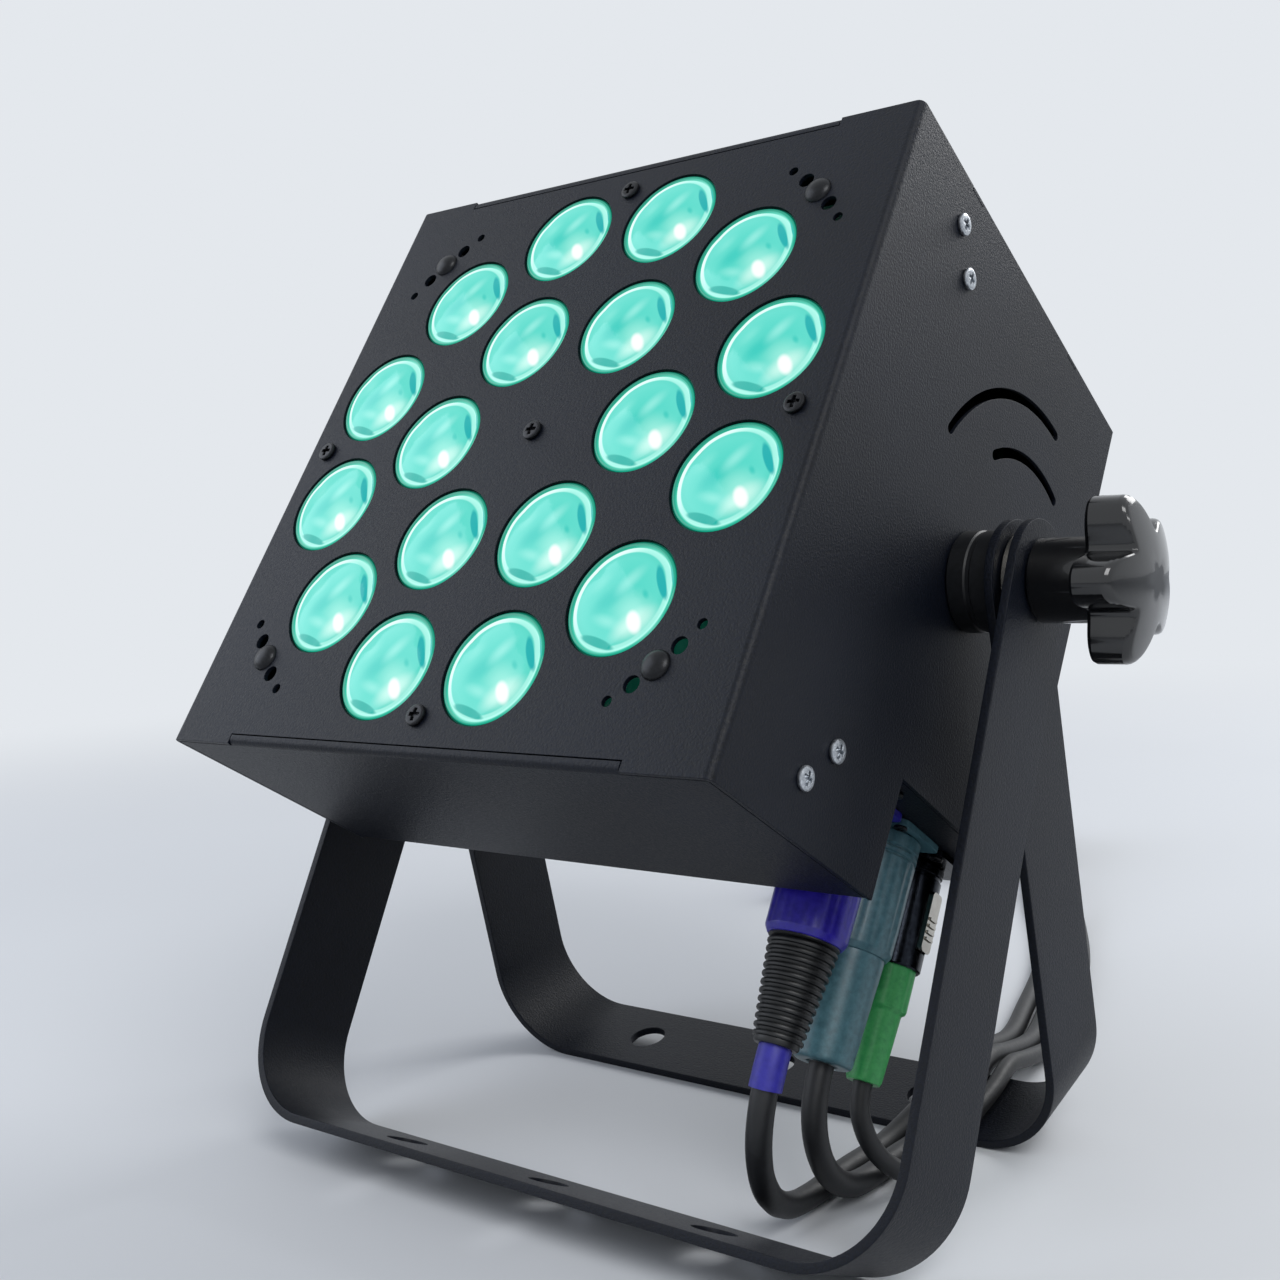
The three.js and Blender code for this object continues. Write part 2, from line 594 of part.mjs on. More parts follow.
function buildHead() {
  const head = new THREE.Group();
  add(head, 'front_shell', paint, frontShell());
  add(head, 'top_panel', paint, topPanel());
  add(head, 'bottom_panel', paint, bottomPanel());
  add(head, 'rear_panel', paint, rearPanel());
  add(head, 'connector_ledge', paint, connectorLedge());
  lensPlaces().forEach(([x, z], k) => {
    add(head, `lens_${String(k + 1).padStart(2, '0')}`, lensAcrylic, lens(x, z));
  });
  add(head, 'led_board', whiteBoard, ledBoard());
  add(head, 'heatsink', aluminium, heatsink());
  add(head, 'fan_frame', blackPlastic, fanFrame());
  add(head, 'fan_rotor', blackPlastic, fanRotor());
  add(head, 'driver_board', circuitBoard, driverBoard());
  add(head, 'control_board', circuitBoard, controlBoard());
  add(head, 'display_window', blackPlastic, displayWindow());
  BUTTON_X.forEach((x, k) => add(head, `menu_button_${k + 1}`, blackPlastic, menuButton(x)));
  add(head, 'power_in_socket', bluePlastic, socket(ROW_X, POWER_IN_Y, POWER_BORE));
  add(head, 'power_link_socket', greyPlastic, socket(ROW_X, POWER_LINK_Y, POWER_BORE));
  add(head, 'dmx_in_socket', nickel, socket(ROW_X, DMX_IN_Y, DMX_BORE));
  add(head, 'dmx_out_socket', nickel, socket(SPARE_X, DMX_IN_Y, DMX_BORE));
  add(head, 'fuse_holder', blackPlastic, fuseHolder());
  const powerIn = powerPlug(POWER_IN_Y, PLUG_BODY_END, PLUG_BOOT_END, PLUG_BOOT_TIP);
  add(head, 'power_in_plug', bluePlastic, powerIn);
  const powerLink = powerPlug(POWER_LINK_Y, LINK_BODY_END, LINK_BOOT_END, LINK_BOOT_TIP);
  add(head, 'power_link_plug', greyPlastic, powerLink);
  add(head, 'dmx_plug', blackPlastic, dmxPlug());
  add(head, 'dmx_plug_latch', nickel, dmxLatch());
  head.position.set(0, -PIVOT_Y, -PIVOT_Z);
  const turnedHead = new THREE.Group();
  turnedHead.add(head);
  turnedHead.rotation.x = -tilt;
  return turnedHead;
}

// Each side of the pivot, from the head outwards: spacer, inner arm, washer, outer arm, knob.
function buildPivots() {
  const pivots = new THREE.Group();
  const bore = BOLT + 0.6;
  const spacer = [HALF_WIDTH + GAP, INNER_REACH - STRAP - GAP];
  const washer = [INNER_REACH + GAP, OUTER_REACH - STRAP - GAP];
  for (const [side, turn] of [['right', 0], ['left', Math.PI]]) {
    const half = new THREE.Group();
    add(half, `pivot_spacer_${side}`, blackPlastic, tube(SPACER, bore, ...spacer));
    add(half, `arm_washer_${side}`, nickel, tube(WASHER, bore, ...washer));
    add(half, `star_knob_${side}`, blackPlastic, starKnob());
    half.rotation.z = turn;
    pivots.add(half);
  }
  pivots.rotation.x = -tilt;
  return pivots;
}

function buildStand() {
  const stand = new THREE.Group();
  const holes = [[-65, 7], [0, 6.5], [65, 7]];
  const front = add(stand, 'front_yoke', paint, yoke(OUTER_REACH, OUTER_LENGTH, holes));
  const rear = add(stand, 'rear_yoke', paint, yoke(INNER_REACH, INNER_LENGTH, holes));
  rear.rotation.x = lean;
  front.rotation.x = lean - spread;
  return stand;
}

const light = new THREE.Group();
const above = new THREE.Group();
above.add(buildHead(), buildPivots(), buildStand());
above.position.z = PIVOT_HEIGHT;
light.add(above);

const cords = new THREE.Group();
light.add(cords);

const POWER_IN_EXIT = toFloor(ROW_X, POWER_IN_Y, PLUG_BOOT_END);
const POWER_LINK_EXIT = toFloor(ROW_X, POWER_LINK_Y, LINK_BOOT_END);
const DMX_EXIT = toFloor(ROW_X, DMX_IN_Y, DMX_BOOT_END);

// From a plug's boot the cord leaves straight, then bends back to the floor on one arc.
function drop([x, y, z], straight, rest, landingX) {
  const points = [[x, y, z]];
  const [y0, z0] = [y - straight * Math.sin(tilt), z - straight * Math.cos(tilt)];
  const radius = (z0 - rest) / (1 + Math.sin(tilt));
  const arcSteps = 6;
  for (let k = 0; k <= arcSteps; k += 1) {
    const share = k / arcSteps;
    const angle = -tilt + (tilt + Math.PI / 2) * share;
    const ease = share * share * (3 - 2 * share);
    points.push([
      x + (landingX - x) * ease,
      y0 + radius * (Math.cos(tilt) - Math.cos(angle)),
      z0 - radius * (Math.sin(angle) + Math.sin(tilt)),
    ]);
  }
  return points;
}

// The pile stands on the floor: the mains coil lowest, the link coil on it and the DMX coil on top.
const MAINS_REST = MAINS_CORD / 2 + 0.5;
const DMX_REST = DMX_CORD / 2 + 0.5;
const MAINS_LAYER = MAINS_CORD + TURN_GAP;
const LINK_BASE = MAINS_REST + 2 * MAINS_LAYER;
const DMX_BASE = LINK_BASE + MAINS_LAYER + (MAINS_CORD + DMX_CORD) / 2 + TURN_GAP;
const DMX_TOP = DMX_BASE + DMX_CORD + TURN_GAP;
const MAINS_PLUG = { radius: 13.5, x: -113, y: 484 };
const LINK_END = { radius: 13.3, x: -150.6, y: 356 };
const DMX_END = { radius: 9.6, x: -133, y: 410 };
const MAINS_PLUG_Z = MAINS_PLUG.radius + 0.3;
const LINK_END_Z = LINK_END.radius + 0.3;
const DMX_END_Z = DMX_TOP + DMX_CORD / 2 + DMX_END.radius + 0.3;

cord(cords, 'power_in', {
  diameter: MAINS_CORD,
  steps: 26,
  route: [
    ...drop(POWER_IN_EXIT, 4, MAINS_REST, 69.5),
    [69.5, -25, MAINS_REST], [70.5, 0, MAINS_REST], [73, 20, 9.5], [73, 40, 13.6], [71, 58, 16.2],
    [68.5, 80, 11], [64, 110, 5], [53, 150, MAINS_REST], [36, 205, MAINS_REST], [10, 265, MAINS_REST],
    [-20, 320, MAINS_REST], [-42, 370, MAINS_REST],
  ],
  coil: { radius: 44.5, turns: 4.125, base: MAINS_REST },
  tail: [
    [-68.5, 458, 13.1], [-76, 465.5, 13.2], [-84.5, 473, 13.4], [-94, 479.8, MAINS_PLUG_Z],
    [-102.5, 483.4, MAINS_PLUG_Z], [-107, 484, MAINS_PLUG_Z], [-110, MAINS_PLUG.y, MAINS_PLUG_Z],
    [MAINS_PLUG.x, MAINS_PLUG.y, MAINS_PLUG_Z],
  ],
});

cord(cords, 'power_link', {
  diameter: MAINS_CORD,
  steps: 26,
  route: [
    ...drop(POWER_LINK_EXIT, 2, MAINS_REST, 78.5),
    [79, -8, MAINS_REST], [80.5, 5, 5.2], [82.5, 20, 9.5], [82.5, 40, 13.6], [80.5, 58, 16.2], [78, 80, 11],
    [73.5, 110, 5], [63, 150, MAINS_REST], [46.5, 205, MAINS_REST], [21, 265, MAINS_REST], [-9, 320, 6.5],
    [-32, 362, 16.5], [-44, 389, 22.2],
  ],
  coil: { radius: 43, turns: 2.5, base: LINK_BASE },
  tail: [
    [-149.4, 400, 28.2], [-150.4, 388, 23.6], [-150.6, 378, 18.6], [-150.6, 369, 15], [-150.6, 363, 13.8],
    [LINK_END.x, 359.5, LINK_END_Z], [LINK_END.x, LINK_END.y, LINK_END_Z],
  ],
});

cord(cords, 'dmx', {
  diameter: DMX_CORD,
  steps: 26,
  route: [
    ...drop(DMX_EXIT, 2, DMX_REST, 89),
    [90, 5, 4.8], [91, 20, 8.8], [91, 40, 12.8], [89, 58, 15.2], [86.5, 80, 10.5],
    [82, 110, 4.4], [72.5, 150, DMX_REST], [56, 205, DMX_REST], [31, 264, 4.6], [1, 318, 13],
    [-36, 360, 31], [-54, 386, 38.9],
  ],
  coil: { radius: 33, turns: 2.25, base: DMX_BASE },
  tail: [
    [-113, 446, 46.5], [-124, 438, 50], [-130.5, 428, 54.6], [-133, 419, 57.7], [DMX_END.x, 414, DMX_END_Z],
    [DMX_END.x, DMX_END.y, DMX_END_Z],
  ],
});

// A plug at a cord's far end, from the cord's end to its tip, turned to the way that the cord points.
function farPlug(group, name, look, body, [x, y, z], heading) {
  const piece = add(group, name, look, body);
  piece.position.set(x, y, z);
  piece.rotation.z = rad(heading);
}

// A moulded earthed plug with two flat blades and a round earth pin.
function mainsPlug() {
  const radius = MAINS_PLUG.radius;
  const profile = [[0, 0], [5.6, 0], [8, 10], [radius - 1, 18], [radius, 20]];
  profile.push([radius, 34], [radius - 1, 36], [0, 36]);
  const blades = [-6.35, 6.35].map((x) => box(x - 0.8, x + 0.8, 35, 50.5, 0.5, 6.8));
  return join(turned('y', profile, 0, 0, 16), ...blades, rod('y', 2.4, 35, 50.5, 0, -7, 10));
}

// A locking plug like those at the light, with its nose bare.
function linkEndPlug() {
  const radius = LINK_END.radius;
  const profile = [[0, 0], [6.2, 0], [10.5, 22], [11.6, 25], [radius, 27], [radius, 62]];
  profile.push([9.4, 62], [9.4, 76], [7.5, 77], [7.5, 68], [0, 68]);
  return turned('y', profile, 0, 0, 16);
}

// A DMX plug: rubber boot, metal shell and a hollow nose with three pins.
function dmxEndPlug() {
  const radius = DMX_END.radius;
  const profile = [[0, 0], [5.4, 0], [7.6, 18], [8, 36.5], [radius, 37.5], [radius, 68]];
  profile.push([8, 68.6], [8, 82], [7, 82], [7, 70], [0, 70]);
  const ring = 3.6;
  const pins = [90, 210, 330].map(rad).map((angle) => {
    return rod('y', 1.2, 69, 80, ring * Math.cos(angle), ring * Math.sin(angle), 8);
  });
  return join(turned('y', profile, 0, 0, 16), ...pins);
}

farPlug(cords, 'mains_plug', rubber, mainsPlug(), [MAINS_PLUG.x, MAINS_PLUG.y, MAINS_PLUG_Z], 90);
farPlug(cords, 'link_end_plug', bluePlastic, linkEndPlug(), [LINK_END.x, LINK_END.y, LINK_END_Z], 180);
farPlug(cords, 'dmx_end_plug', blackPlastic, dmxEndPlug(), [DMX_END.x, DMX_END.y, DMX_END_Z], 180);

// The origin goes under the middle of the light, cords left out.
const body = new THREE.Box3().setFromObject(above, true);
light.position.set(-(body.min.x + body.max.x) / 2, -(body.min.y + body.max.y) / 2, 0);

export default light;
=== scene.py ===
import math

import bmesh
import bpy
from mathutils import Matrix, Vector


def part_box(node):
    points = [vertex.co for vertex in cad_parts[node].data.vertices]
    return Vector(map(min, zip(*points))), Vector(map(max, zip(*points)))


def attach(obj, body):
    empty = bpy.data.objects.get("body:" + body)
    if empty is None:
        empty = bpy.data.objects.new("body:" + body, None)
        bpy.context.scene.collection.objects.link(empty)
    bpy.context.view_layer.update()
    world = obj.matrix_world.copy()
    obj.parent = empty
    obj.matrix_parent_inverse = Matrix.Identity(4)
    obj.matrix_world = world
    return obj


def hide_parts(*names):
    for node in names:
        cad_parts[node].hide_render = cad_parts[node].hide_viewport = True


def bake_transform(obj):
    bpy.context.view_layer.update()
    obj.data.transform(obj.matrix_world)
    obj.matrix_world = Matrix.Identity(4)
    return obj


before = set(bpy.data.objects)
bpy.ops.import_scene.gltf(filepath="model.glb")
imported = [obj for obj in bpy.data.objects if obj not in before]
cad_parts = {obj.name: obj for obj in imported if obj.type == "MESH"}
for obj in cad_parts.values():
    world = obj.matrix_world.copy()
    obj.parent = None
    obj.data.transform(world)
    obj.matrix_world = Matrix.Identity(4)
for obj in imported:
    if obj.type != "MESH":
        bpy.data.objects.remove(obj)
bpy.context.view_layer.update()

# Front shell.
# One sheet of 1.5 mm steel makes the front face and both sides: it is laser cut flat, with its lens holes,
# vents and rivet holes, then folded at two rounded bends and powder coated fine-textured black.
MM = 0.001
MERGE = 1e-4
HEAD_TILT = 32.7
PIVOT_IN_HEAD = (93, -2)
HEAD_WIDTH = 216
HEAD_HEIGHT = 219
HEAD_DEPTH = 171
STEEL = 1.5
SHEET_EDGE = 0.2
RIM_ANGLE = 1.2
BEND = 2.5
GAP = 0.3
FOOT_DEPTH = 85
LEDGE_Z = -71
LEDGE_UNDER = LEDGE_Z - STEEL
HALF_WIDTH = HEAD_WIDTH / 2
HALF_HEIGHT = HEAD_HEIGHT / 2
INSIDE = HALF_WIDTH - STEEL - GAP
LENS_BORE = 18.2
LENS_RINGS = ((12, 84.1, 15), (6, 43.5, 0))
CORNER_RING = 112.8
CORNERS = (45, 135, 225, 315)
CORNER_HOLES = ((-8.2, 1.6), (-4.1, 2.6), (4.1, 2.6), (8.2, 1.6))
BOLT = 5
PIVOT_BORE = BOLT + 0.6
TONGUE = 79
TONGUE_LIP = 3
TABS_Y = (126, 41)
NOTCH_HALF = 4
NOTCH_DEEP = 1.6
VENT_CENTRE = (124, 9)
VENT_HALF = 1.75
VENTS = ((68, 87.5, 158.8), (48.6, 75.1, 134.4))
CLOUDS = 60
CLOUD_SHARE = 0.35
TINT_SPAN = (0.45, 0.95)
RELIEF = 0.6

at = Matrix.Translation
spacer_low, spacer_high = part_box("pivot_spacer_right")
pivot = (Vector(spacer_low) + Vector(spacer_high)) / 2
PIVOT = at((0, pivot.y, pivot.z))
TO_METRES = Matrix.Scale(MM, 4)
TURNED = PIVOT @ Matrix.Rotation(-math.radians(HEAD_TILT), 4, "X") @ TO_METRES
HEAD = TURNED @ at((0, -PIVOT_IN_HEAD[0], -PIVOT_IN_HEAD[1]))


def linear(code):
    """An sRGB hex colour as the linear one that a shader takes."""
    parts = [int(code[k:k + 2], 16) / 255 for k in (1, 3, 5)]
    return [c / 12.92 if c <= 0.04045 else ((c + 0.055) / 1.055) ** 2.4 for c in parts] + [1.0]


def put(tree, kind, values=None, links=None, stops=(), **settings):
    """Adds a node: values go to its sockets, links join sources to them, stops are its colour ramp's."""
    made = tree.nodes.new("ShaderNode" + kind)
    for key, value in settings.items():
        setattr(made, key, value)
    for socket, value in (values or {}).items():
        made.inputs[socket].default_value = value
    for socket, source in (links or {}).items():
        tree.links.new(source, made.inputs[socket])
    for position, _ in stops[1:-1]:
        made.color_ramp.elements.new(position)
    for number, (position, code) in enumerate(stops):
        made.color_ramp.elements[number].position = position
        made.color_ramp.elements[number].color = linear(code)
    return made


def finish_named(name, roughness, metallic=0.0, coat=0.0, ior=1.5, specular=0.5):
    """A new material: its node tree, its surface shader and the object coordinates."""
    material = bpy.data.materials.new(name)
    material.use_nodes = True
    tree = material.node_tree
    surface = tree.nodes["Principled BSDF"]
    values = {"Roughness": roughness, "Metallic": metallic, "Coat Weight": coat, "IOR": ior,
              "Specular IOR Level": specular}
    for socket, value in values.items():
        surface.inputs[socket].default_value = value
    place = put(tree, "TexCoord").outputs["Object"]
    return material, tree, surface, place


def grained(name, dark, light, grain, depth, sheen, **more):
    """A finish with grain in colour, roughness (sheen) and height: grain and depth are in millimetres."""
    material, tree, surface, place = finish_named(name, sum(sheen) / 2, **more)
    speck = put(tree, "TexNoise", {"Scale": 1 / (grain * MM), "Detail": 3, "Roughness": 0.6},
                {"Vector": place})
    cloud = put(tree, "TexNoise", {"Scale": 1 / (CLOUDS * MM), "Detail": 2}, {"Vector": place})
    fine, broad = speck.outputs["Fac"], cloud.outputs["Fac"]
    both = put(tree, "Math", {1: CLOUD_SHARE}, {0: broad, 2: fine}, operation="MULTIPLY_ADD")
    stops = tuple(zip(TINT_SPAN, (dark, light)))
    tint = put(tree, "ValToRGB", links={"Fac": both.outputs[0]}, stops=stops)
    gloss = put(tree, "MapRange", {"To Min": sheen[0], "To Max": sheen[1]}, {"Value": fine})
    relief = put(tree, "Bump", {"Strength": RELIEF, "Distance": depth * MM}, {"Height": fine})
    tree.links.new(tint.outputs["Color"], surface.inputs["Base Color"])
    tree.links.new(gloss.outputs["Result"], surface.inputs["Roughness"])
    tree.links.new(relief.outputs["Normal"], surface.inputs["Normal"])
    return material


# Powder coat: polyester powder, sprayed and baked, with the fine sandy texture of stage housings.
powder_coat = grained("fine_texture_powder_coat", "#03050A", "#0C121F", grain=0.8, depth=0.3,
                      sheen=(0.3, 0.62), specular=0.22)


def on_circle(radius, angle, x=0, y=0):
    """The point of a circle at an angle in degrees."""
    turn = math.radians(angle)
    return (x + radius * math.cos(turn), y + radius * math.sin(turn))


def arc(x, y, radius, first, last, steps):
    """Points along an arc, with its angles in degrees."""
    return [on_circle(radius, first + (last - first) * k / steps, x, y) for k in range(steps + 1)]


def circle(x, y, radius, steps=32):
    """A full circle's points."""
    return arc(x, y, radius, 0, 360, steps)[:-1]


def rounded(x0, x1, y0, y1, radius, steps=4):
    """A rectangle's outline with round corners."""
    corners = [(x1, y1, 0), (x0, y1, 90), (x0, y0, 180), (x1, y0, 270)]
    points = []
    for x, y, turn in corners:
        side_x = x - radius if x == x1 else x + radius
        side_y = y - radius if y == y1 else y + radius
        points += arc(side_x, side_y, radius, turn, turn + 90, steps)
    return points


def mirrored(half, flip):
    """A closed outline from one half of it: flip is what x and y are multiplied by in the other half."""
    return half + [(flip[0] * x, flip[1] * y) for x, y in reversed(half)]


def new_verts(grown):
    """The vertices among what an extrusion has made."""
    return [made for made in grown["geom"] if isinstance(made, bmesh.types.BMVert)]


def plate(outline, holes, thick, edge=0.0):
    """A flat plate with holes, its outer face up at z = 0, and its rims rounded by edge."""
    bm = bmesh.new()
    for loop in [outline, *holes]:
        corners = [bm.verts.new((x, y, 0)) for x, y in loop]
        for a, b in zip(corners, corners[1:] + corners[:1]):
            bm.edges.new((a, b))
    bmesh.ops.triangle_fill(bm, use_beauty=True, use_dissolve=False, edges=bm.edges[:])
    grown = bmesh.ops.extrude_face_region(bm, geom=bm.faces[:])
    bmesh.ops.translate(bm, verts=new_verts(grown), vec=(0, 0, -thick))
    bmesh.ops.recalc_face_normals(bm, faces=bm.faces)
    if edge:
        rims = [e for e in bm.edges if len(e.link_faces) == 2 and e.calc_face_angle() > RIM_ANGLE]
        rims = [e for e in rims if abs(e.verts[0].co.z - e.verts[1].co.z) < thick / 2]
        bmesh.ops.bevel(bm, geom=rims, offset=edge, offset_type="OFFSET", segments=2, profile=0.5,
                        affect="EDGES", clamp_overlap=True, material=-1)
    return bm


def cut(bm, place, normal):
    """Cuts a mesh along a plane and keeps both sides joined."""
    everything = bm.verts[:] + bm.edges[:] + bm.faces[:]
    bmesh.ops.bisect_plane(bm, geom=everything, dist=MERGE, plane_co=place, plane_no=normal)


def fold(bm, half, radius, steps):
    """Folds a flat plate up at both ends: cut across along each bend, then wrapped round it."""
    bow = radius * math.pi / 2
    for side in (-1, 1):
        for k in range(steps + 1):
            cut(bm, (side * (half + bow * k / steps), 0, 0), (1, 0, 0))
    for v in bm.verts:
        u, width, depth = abs(v.co.x), v.co.y, -v.co.z
        side = -1 if v.co.x < 0 else 1
        if u <= half:
            v.co = (side * u, depth, width)
        elif u < half + bow:
            turn = (u - half) / radius
            reach = radius - depth
            v.co = (side * (half + reach * math.sin(turn)), radius - reach * math.cos(turn), width)
        else:
            v.co = (side * (half + radius - depth), radius + u - half - bow, width)


def piece(name, bm, place, materials, body, replaces=(), smooth=40):
    """Puts a mesh made in millimetres in its place and hangs it on its body. A cord's body is None."""
    bmesh.ops.remove_doubles(bm, verts=bm.verts, dist=MERGE)
    bmesh.ops.recalc_face_normals(bm, faces=bm.faces)
    bmesh.ops.transform(bm, matrix=place, verts=bm.verts)
    mesh = bpy.data.meshes.new(name)
    bm.to_mesh(mesh)
    bm.free()
    mesh.shade_smooth()
    mesh.set_sharp_from_angle(angle=math.radians(smooth))
    made = bpy.data.objects.new(name, mesh)
    bpy.context.scene.collection.objects.link(made)
    for material in materials:
        mesh.materials.append(material)
    weighted = made.modifiers.new("even_shading", "WEIGHTED_NORMAL")
    weighted.keep_sharp = True
    if body:
        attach(made, body)
    if replaces:
        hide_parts(*replaces)
    return made


def lens_places():
    """Where the lenses stand on the front face: twelve outside and six inside."""
    return [on_circle(radius, start + 360 / count * k) for count, radius, start in LENS_RINGS
            for k in range(count)]


def side_u(y):
    """Where a depth on the side lies on the flat sheet, past the bend."""
    return HALF_WIDTH - BEND + BEND * math.pi / 2 + y - BEND


def vent(radius, first, last):
    """A curved vent on the side, with round ends, on the flat sheet."""
    y, z = VENT_CENTRE
    points = arc(y, z, radius + VENT_HALF, first, last, 24)
    points += arc(*on_circle(radius, last, y, z), VENT_HALF, last, last + 180, 6)[1:-1]
    points += arc(y, z, radius - VENT_HALF, last, first, 24)
    points += arc(*on_circle(radius, first, y, z), VENT_HALF, first + 180, first + 360, 6)[1:-1]
    return [(side_u(depth), height) for depth, height in points]


# The flat sheet's right half from below, with room for the bottom cover's lip, the ledge and the top's tabs.
lip, lip_deep = TONGUE + GAP, TONGUE_LIP + GAP
foot_u, back_u = side_u(FOOT_DEPTH), side_u(HEAD_DEPTH)
outline = [(lip, lip_deep - HALF_HEIGHT), (lip, -HALF_HEIGHT), (foot_u, -HALF_HEIGHT), (foot_u, LEDGE_UNDER),
           (back_u, LEDGE_UNDER), (back_u, HALF_HEIGHT)]
for y in TABS_Y:
    near, far = side_u(y + NOTCH_HALF), side_u(y - NOTCH_HALF)
    notch = HALF_HEIGHT - NOTCH_DEEP
    outline += [(near, HALF_HEIGHT), (near, notch), (far, notch), (far, HALF_HEIGHT)]
outline += [(lip, HALF_HEIGHT), (lip, HALF_HEIGHT - lip_deep)]
holes = [circle(x, z, LENS_BORE, 56) for x, z in lens_places()]
holes += [circle(*on_circle(CORNER_RING, corner + off), radius, 16)
          for corner in CORNERS for off, radius in CORNER_HOLES]
side_holes = [vent(*sizes) for sizes in VENTS]
side_holes.append(circle(side_u(PIVOT_IN_HEAD[0]), PIVOT_IN_HEAD[1], PIVOT_BORE))
holes += side_holes + [[(-x, z) for x, z in hole] for hole in side_holes]
bm = plate(mirrored(outline, (-1, 1)), holes, STEEL, SHEET_EDGE)
fold(bm, HALF_WIDTH - BEND, BEND, 6)
piece("front_shell_sheet", bm, HEAD, [powder_coat], "head", ["front_shell"])

# Covers.
# The top and bottom covers, the ledge that carries the connectors and the rear panel are the same sheet, cut,
# folded at their front lips, fitted between the shell's sides and powder coated with it.
LIP_FOLD = STEEL + GAP
LIP_BOW = LIP_FOLD * math.pi / 2
TOP_ORIGIN = 90
TAB_HALF = 3.7
SOCKET_ROW_X = 78
POWER_IN_Y = 103
POWER_LINK_Y = 130
DMX_IN_Y = 157
SPARE_X = 42
SOCKET_BARREL = 11.7
FUSE_BARREL = 6.3
FAN_Z = 22
CONTROL_Z = 89
WINDOW = (-62, -12, CONTROL_Z - 9, CONTROL_Z + 9)
BUTTON_X = (6, 24, 42, 60)
BUTTON = 3.6
LOUVRE_REACH = 40
LOUVRE_PITCH = 9
LOUVRE_HALF = 2

# The top cover is drawn from back to front along its length, with tabs that fill the notches in the sides.
front_fold = TOP_ORIGIN - LIP_FOLD
outline = [(TOP_ORIGIN - HEAD_DEPTH, INSIDE)]
for y in TABS_Y:
    near, far = TOP_ORIGIN - y - TAB_HALF, TOP_ORIGIN - y + TAB_HALF
    outline += [(near, INSIDE), (near, HALF_WIDTH), (far, HALF_WIDTH), (far, INSIDE)]
lip_end = front_fold + LIP_BOW + TONGUE_LIP - LIP_FOLD
outline += [(front_fold, INSIDE), (front_fold, TONGUE), (lip_end, TONGUE)]
bm = plate(mirrored(outline, (1, -1)), [], STEEL, SHEET_EDGE)
fold(bm, front_fold, LIP_FOLD, 4)
lid = Matrix(((0, 0, 1, 0), (-1, 0, 0, TOP_ORIGIN), (0, -1, 0, HALF_HEIGHT), (0, 0, 0, 1)))
piece("top_cover_sheet", bm, HEAD @ lid, [powder_coat], "head", ["top_panel"])

# The bottom cover also folds up behind the foot, to just under the ledge.
half_foot = FOOT_DEPTH / 2
foot_fold = half_foot - LIP_FOLD
rise = LEDGE_UNDER - GAP + HALF_HEIGHT
outline = [(-foot_fold - LIP_BOW - rise + LIP_FOLD, INSIDE), (foot_fold, INSIDE), (foot_fold, TONGUE)]
outline.append((foot_fold + LIP_BOW + TONGUE_LIP - LIP_FOLD, TONGUE))
bm = plate(mirrored(outline, (1, -1)), [], STEEL, SHEET_EDGE)
fold(bm, foot_fold, LIP_FOLD, 4)
foot = Matrix(((0, 0, -1, 0), (-1, 0, 0, half_foot), (0, 1, 0, -HALF_HEIGHT), (0, 0, 0, 1)))
piece("bottom_cover_sheet", bm, HEAD @ foot, [powder_coat], "head", ["bottom_panel"])

outline = [(-INSIDE, FOOT_DEPTH - STEEL), (INSIDE, FOOT_DEPTH - STEEL), (INSIDE, HEAD_DEPTH),
           (-INSIDE, HEAD_DEPTH)]
holes = [circle(SOCKET_ROW_X, y, SOCKET_BARREL + GAP) for y in (POWER_IN_Y, POWER_LINK_Y, DMX_IN_Y)]
holes.append(circle(SPARE_X, DMX_IN_Y, SOCKET_BARREL + GAP))
holes.append(circle(SPARE_X, POWER_IN_Y, FUSE_BARREL + GAP))
bm = plate(outline, holes, STEEL, SHEET_EDGE)
piece("connector_ledge_sheet", bm, HEAD @ at((0, 0, LEDGE_Z)), [powder_coat], "head",
      ["connector_ledge"])

# The rear panel is drawn as it is seen from behind, so its X is turned over.
FROM_BEHIND = Matrix.Rotation(math.pi, 4, "Z") @ Matrix.Rotation(math.pi / 2, 4, "X")
low, high = LEDGE_Z + GAP, HALF_HEIGHT - STEEL - GAP
outline = [(-INSIDE, low), (INSIDE, low), (INSIDE, high), (-INSIDE, high)]
holes = [rounded(-WINDOW[1], -WINDOW[0], WINDOW[2], WINDOW[3], 1.0)]
holes += [circle(-x, CONTROL_Z, BUTTON + 0.4, 24) for x in BUTTON_X]
for k in range(-4, 5):
    height = k * LOUVRE_PITCH
    half = math.sqrt(LOUVRE_REACH ** 2 - height ** 2)
    holes.append(rounded(-half, half, FAN_Z + height - LOUVRE_HALF, FAN_Z + height + LOUVRE_HALF, 1.9))
bm = plate(outline, holes, STEEL, SHEET_EDGE)
rear_face = HEAD @ at((0, HEAD_DEPTH, 0)) @ FROM_BEHIND
piece("rear_panel_sheet", bm, rear_face, [powder_coat], "head", ["rear_panel"])

# Screws and rivets.
# Zinc-plated pan heads with cross recesses hold the covers to the sides. Blacked ones hold the lens board to
# the front and the parts of the rear panel, and one domed black rivet stands in each corner of the front.
SIDE_SCREWS = ((36.7, 93.3), (47.5, 80.8), (36.7, -93.3), (47.5, -80.8))
BOARD_SCREW_RING = 97.2
FAN_SCREWS = 41.25
FAN_CORNERS = [(x, y) for x in (-FAN_SCREWS, FAN_SCREWS) for y in (-FAN_SCREWS, FAN_SCREWS)]
REAR_SCREWS_X = INSIDE - 6
REAR_SCREWS_Z = (low + 7, 18, high - 7)
LEDGE_SCREWS_X = INSIDE - 7
LEDGE_SCREWS_Y = (96, 158)

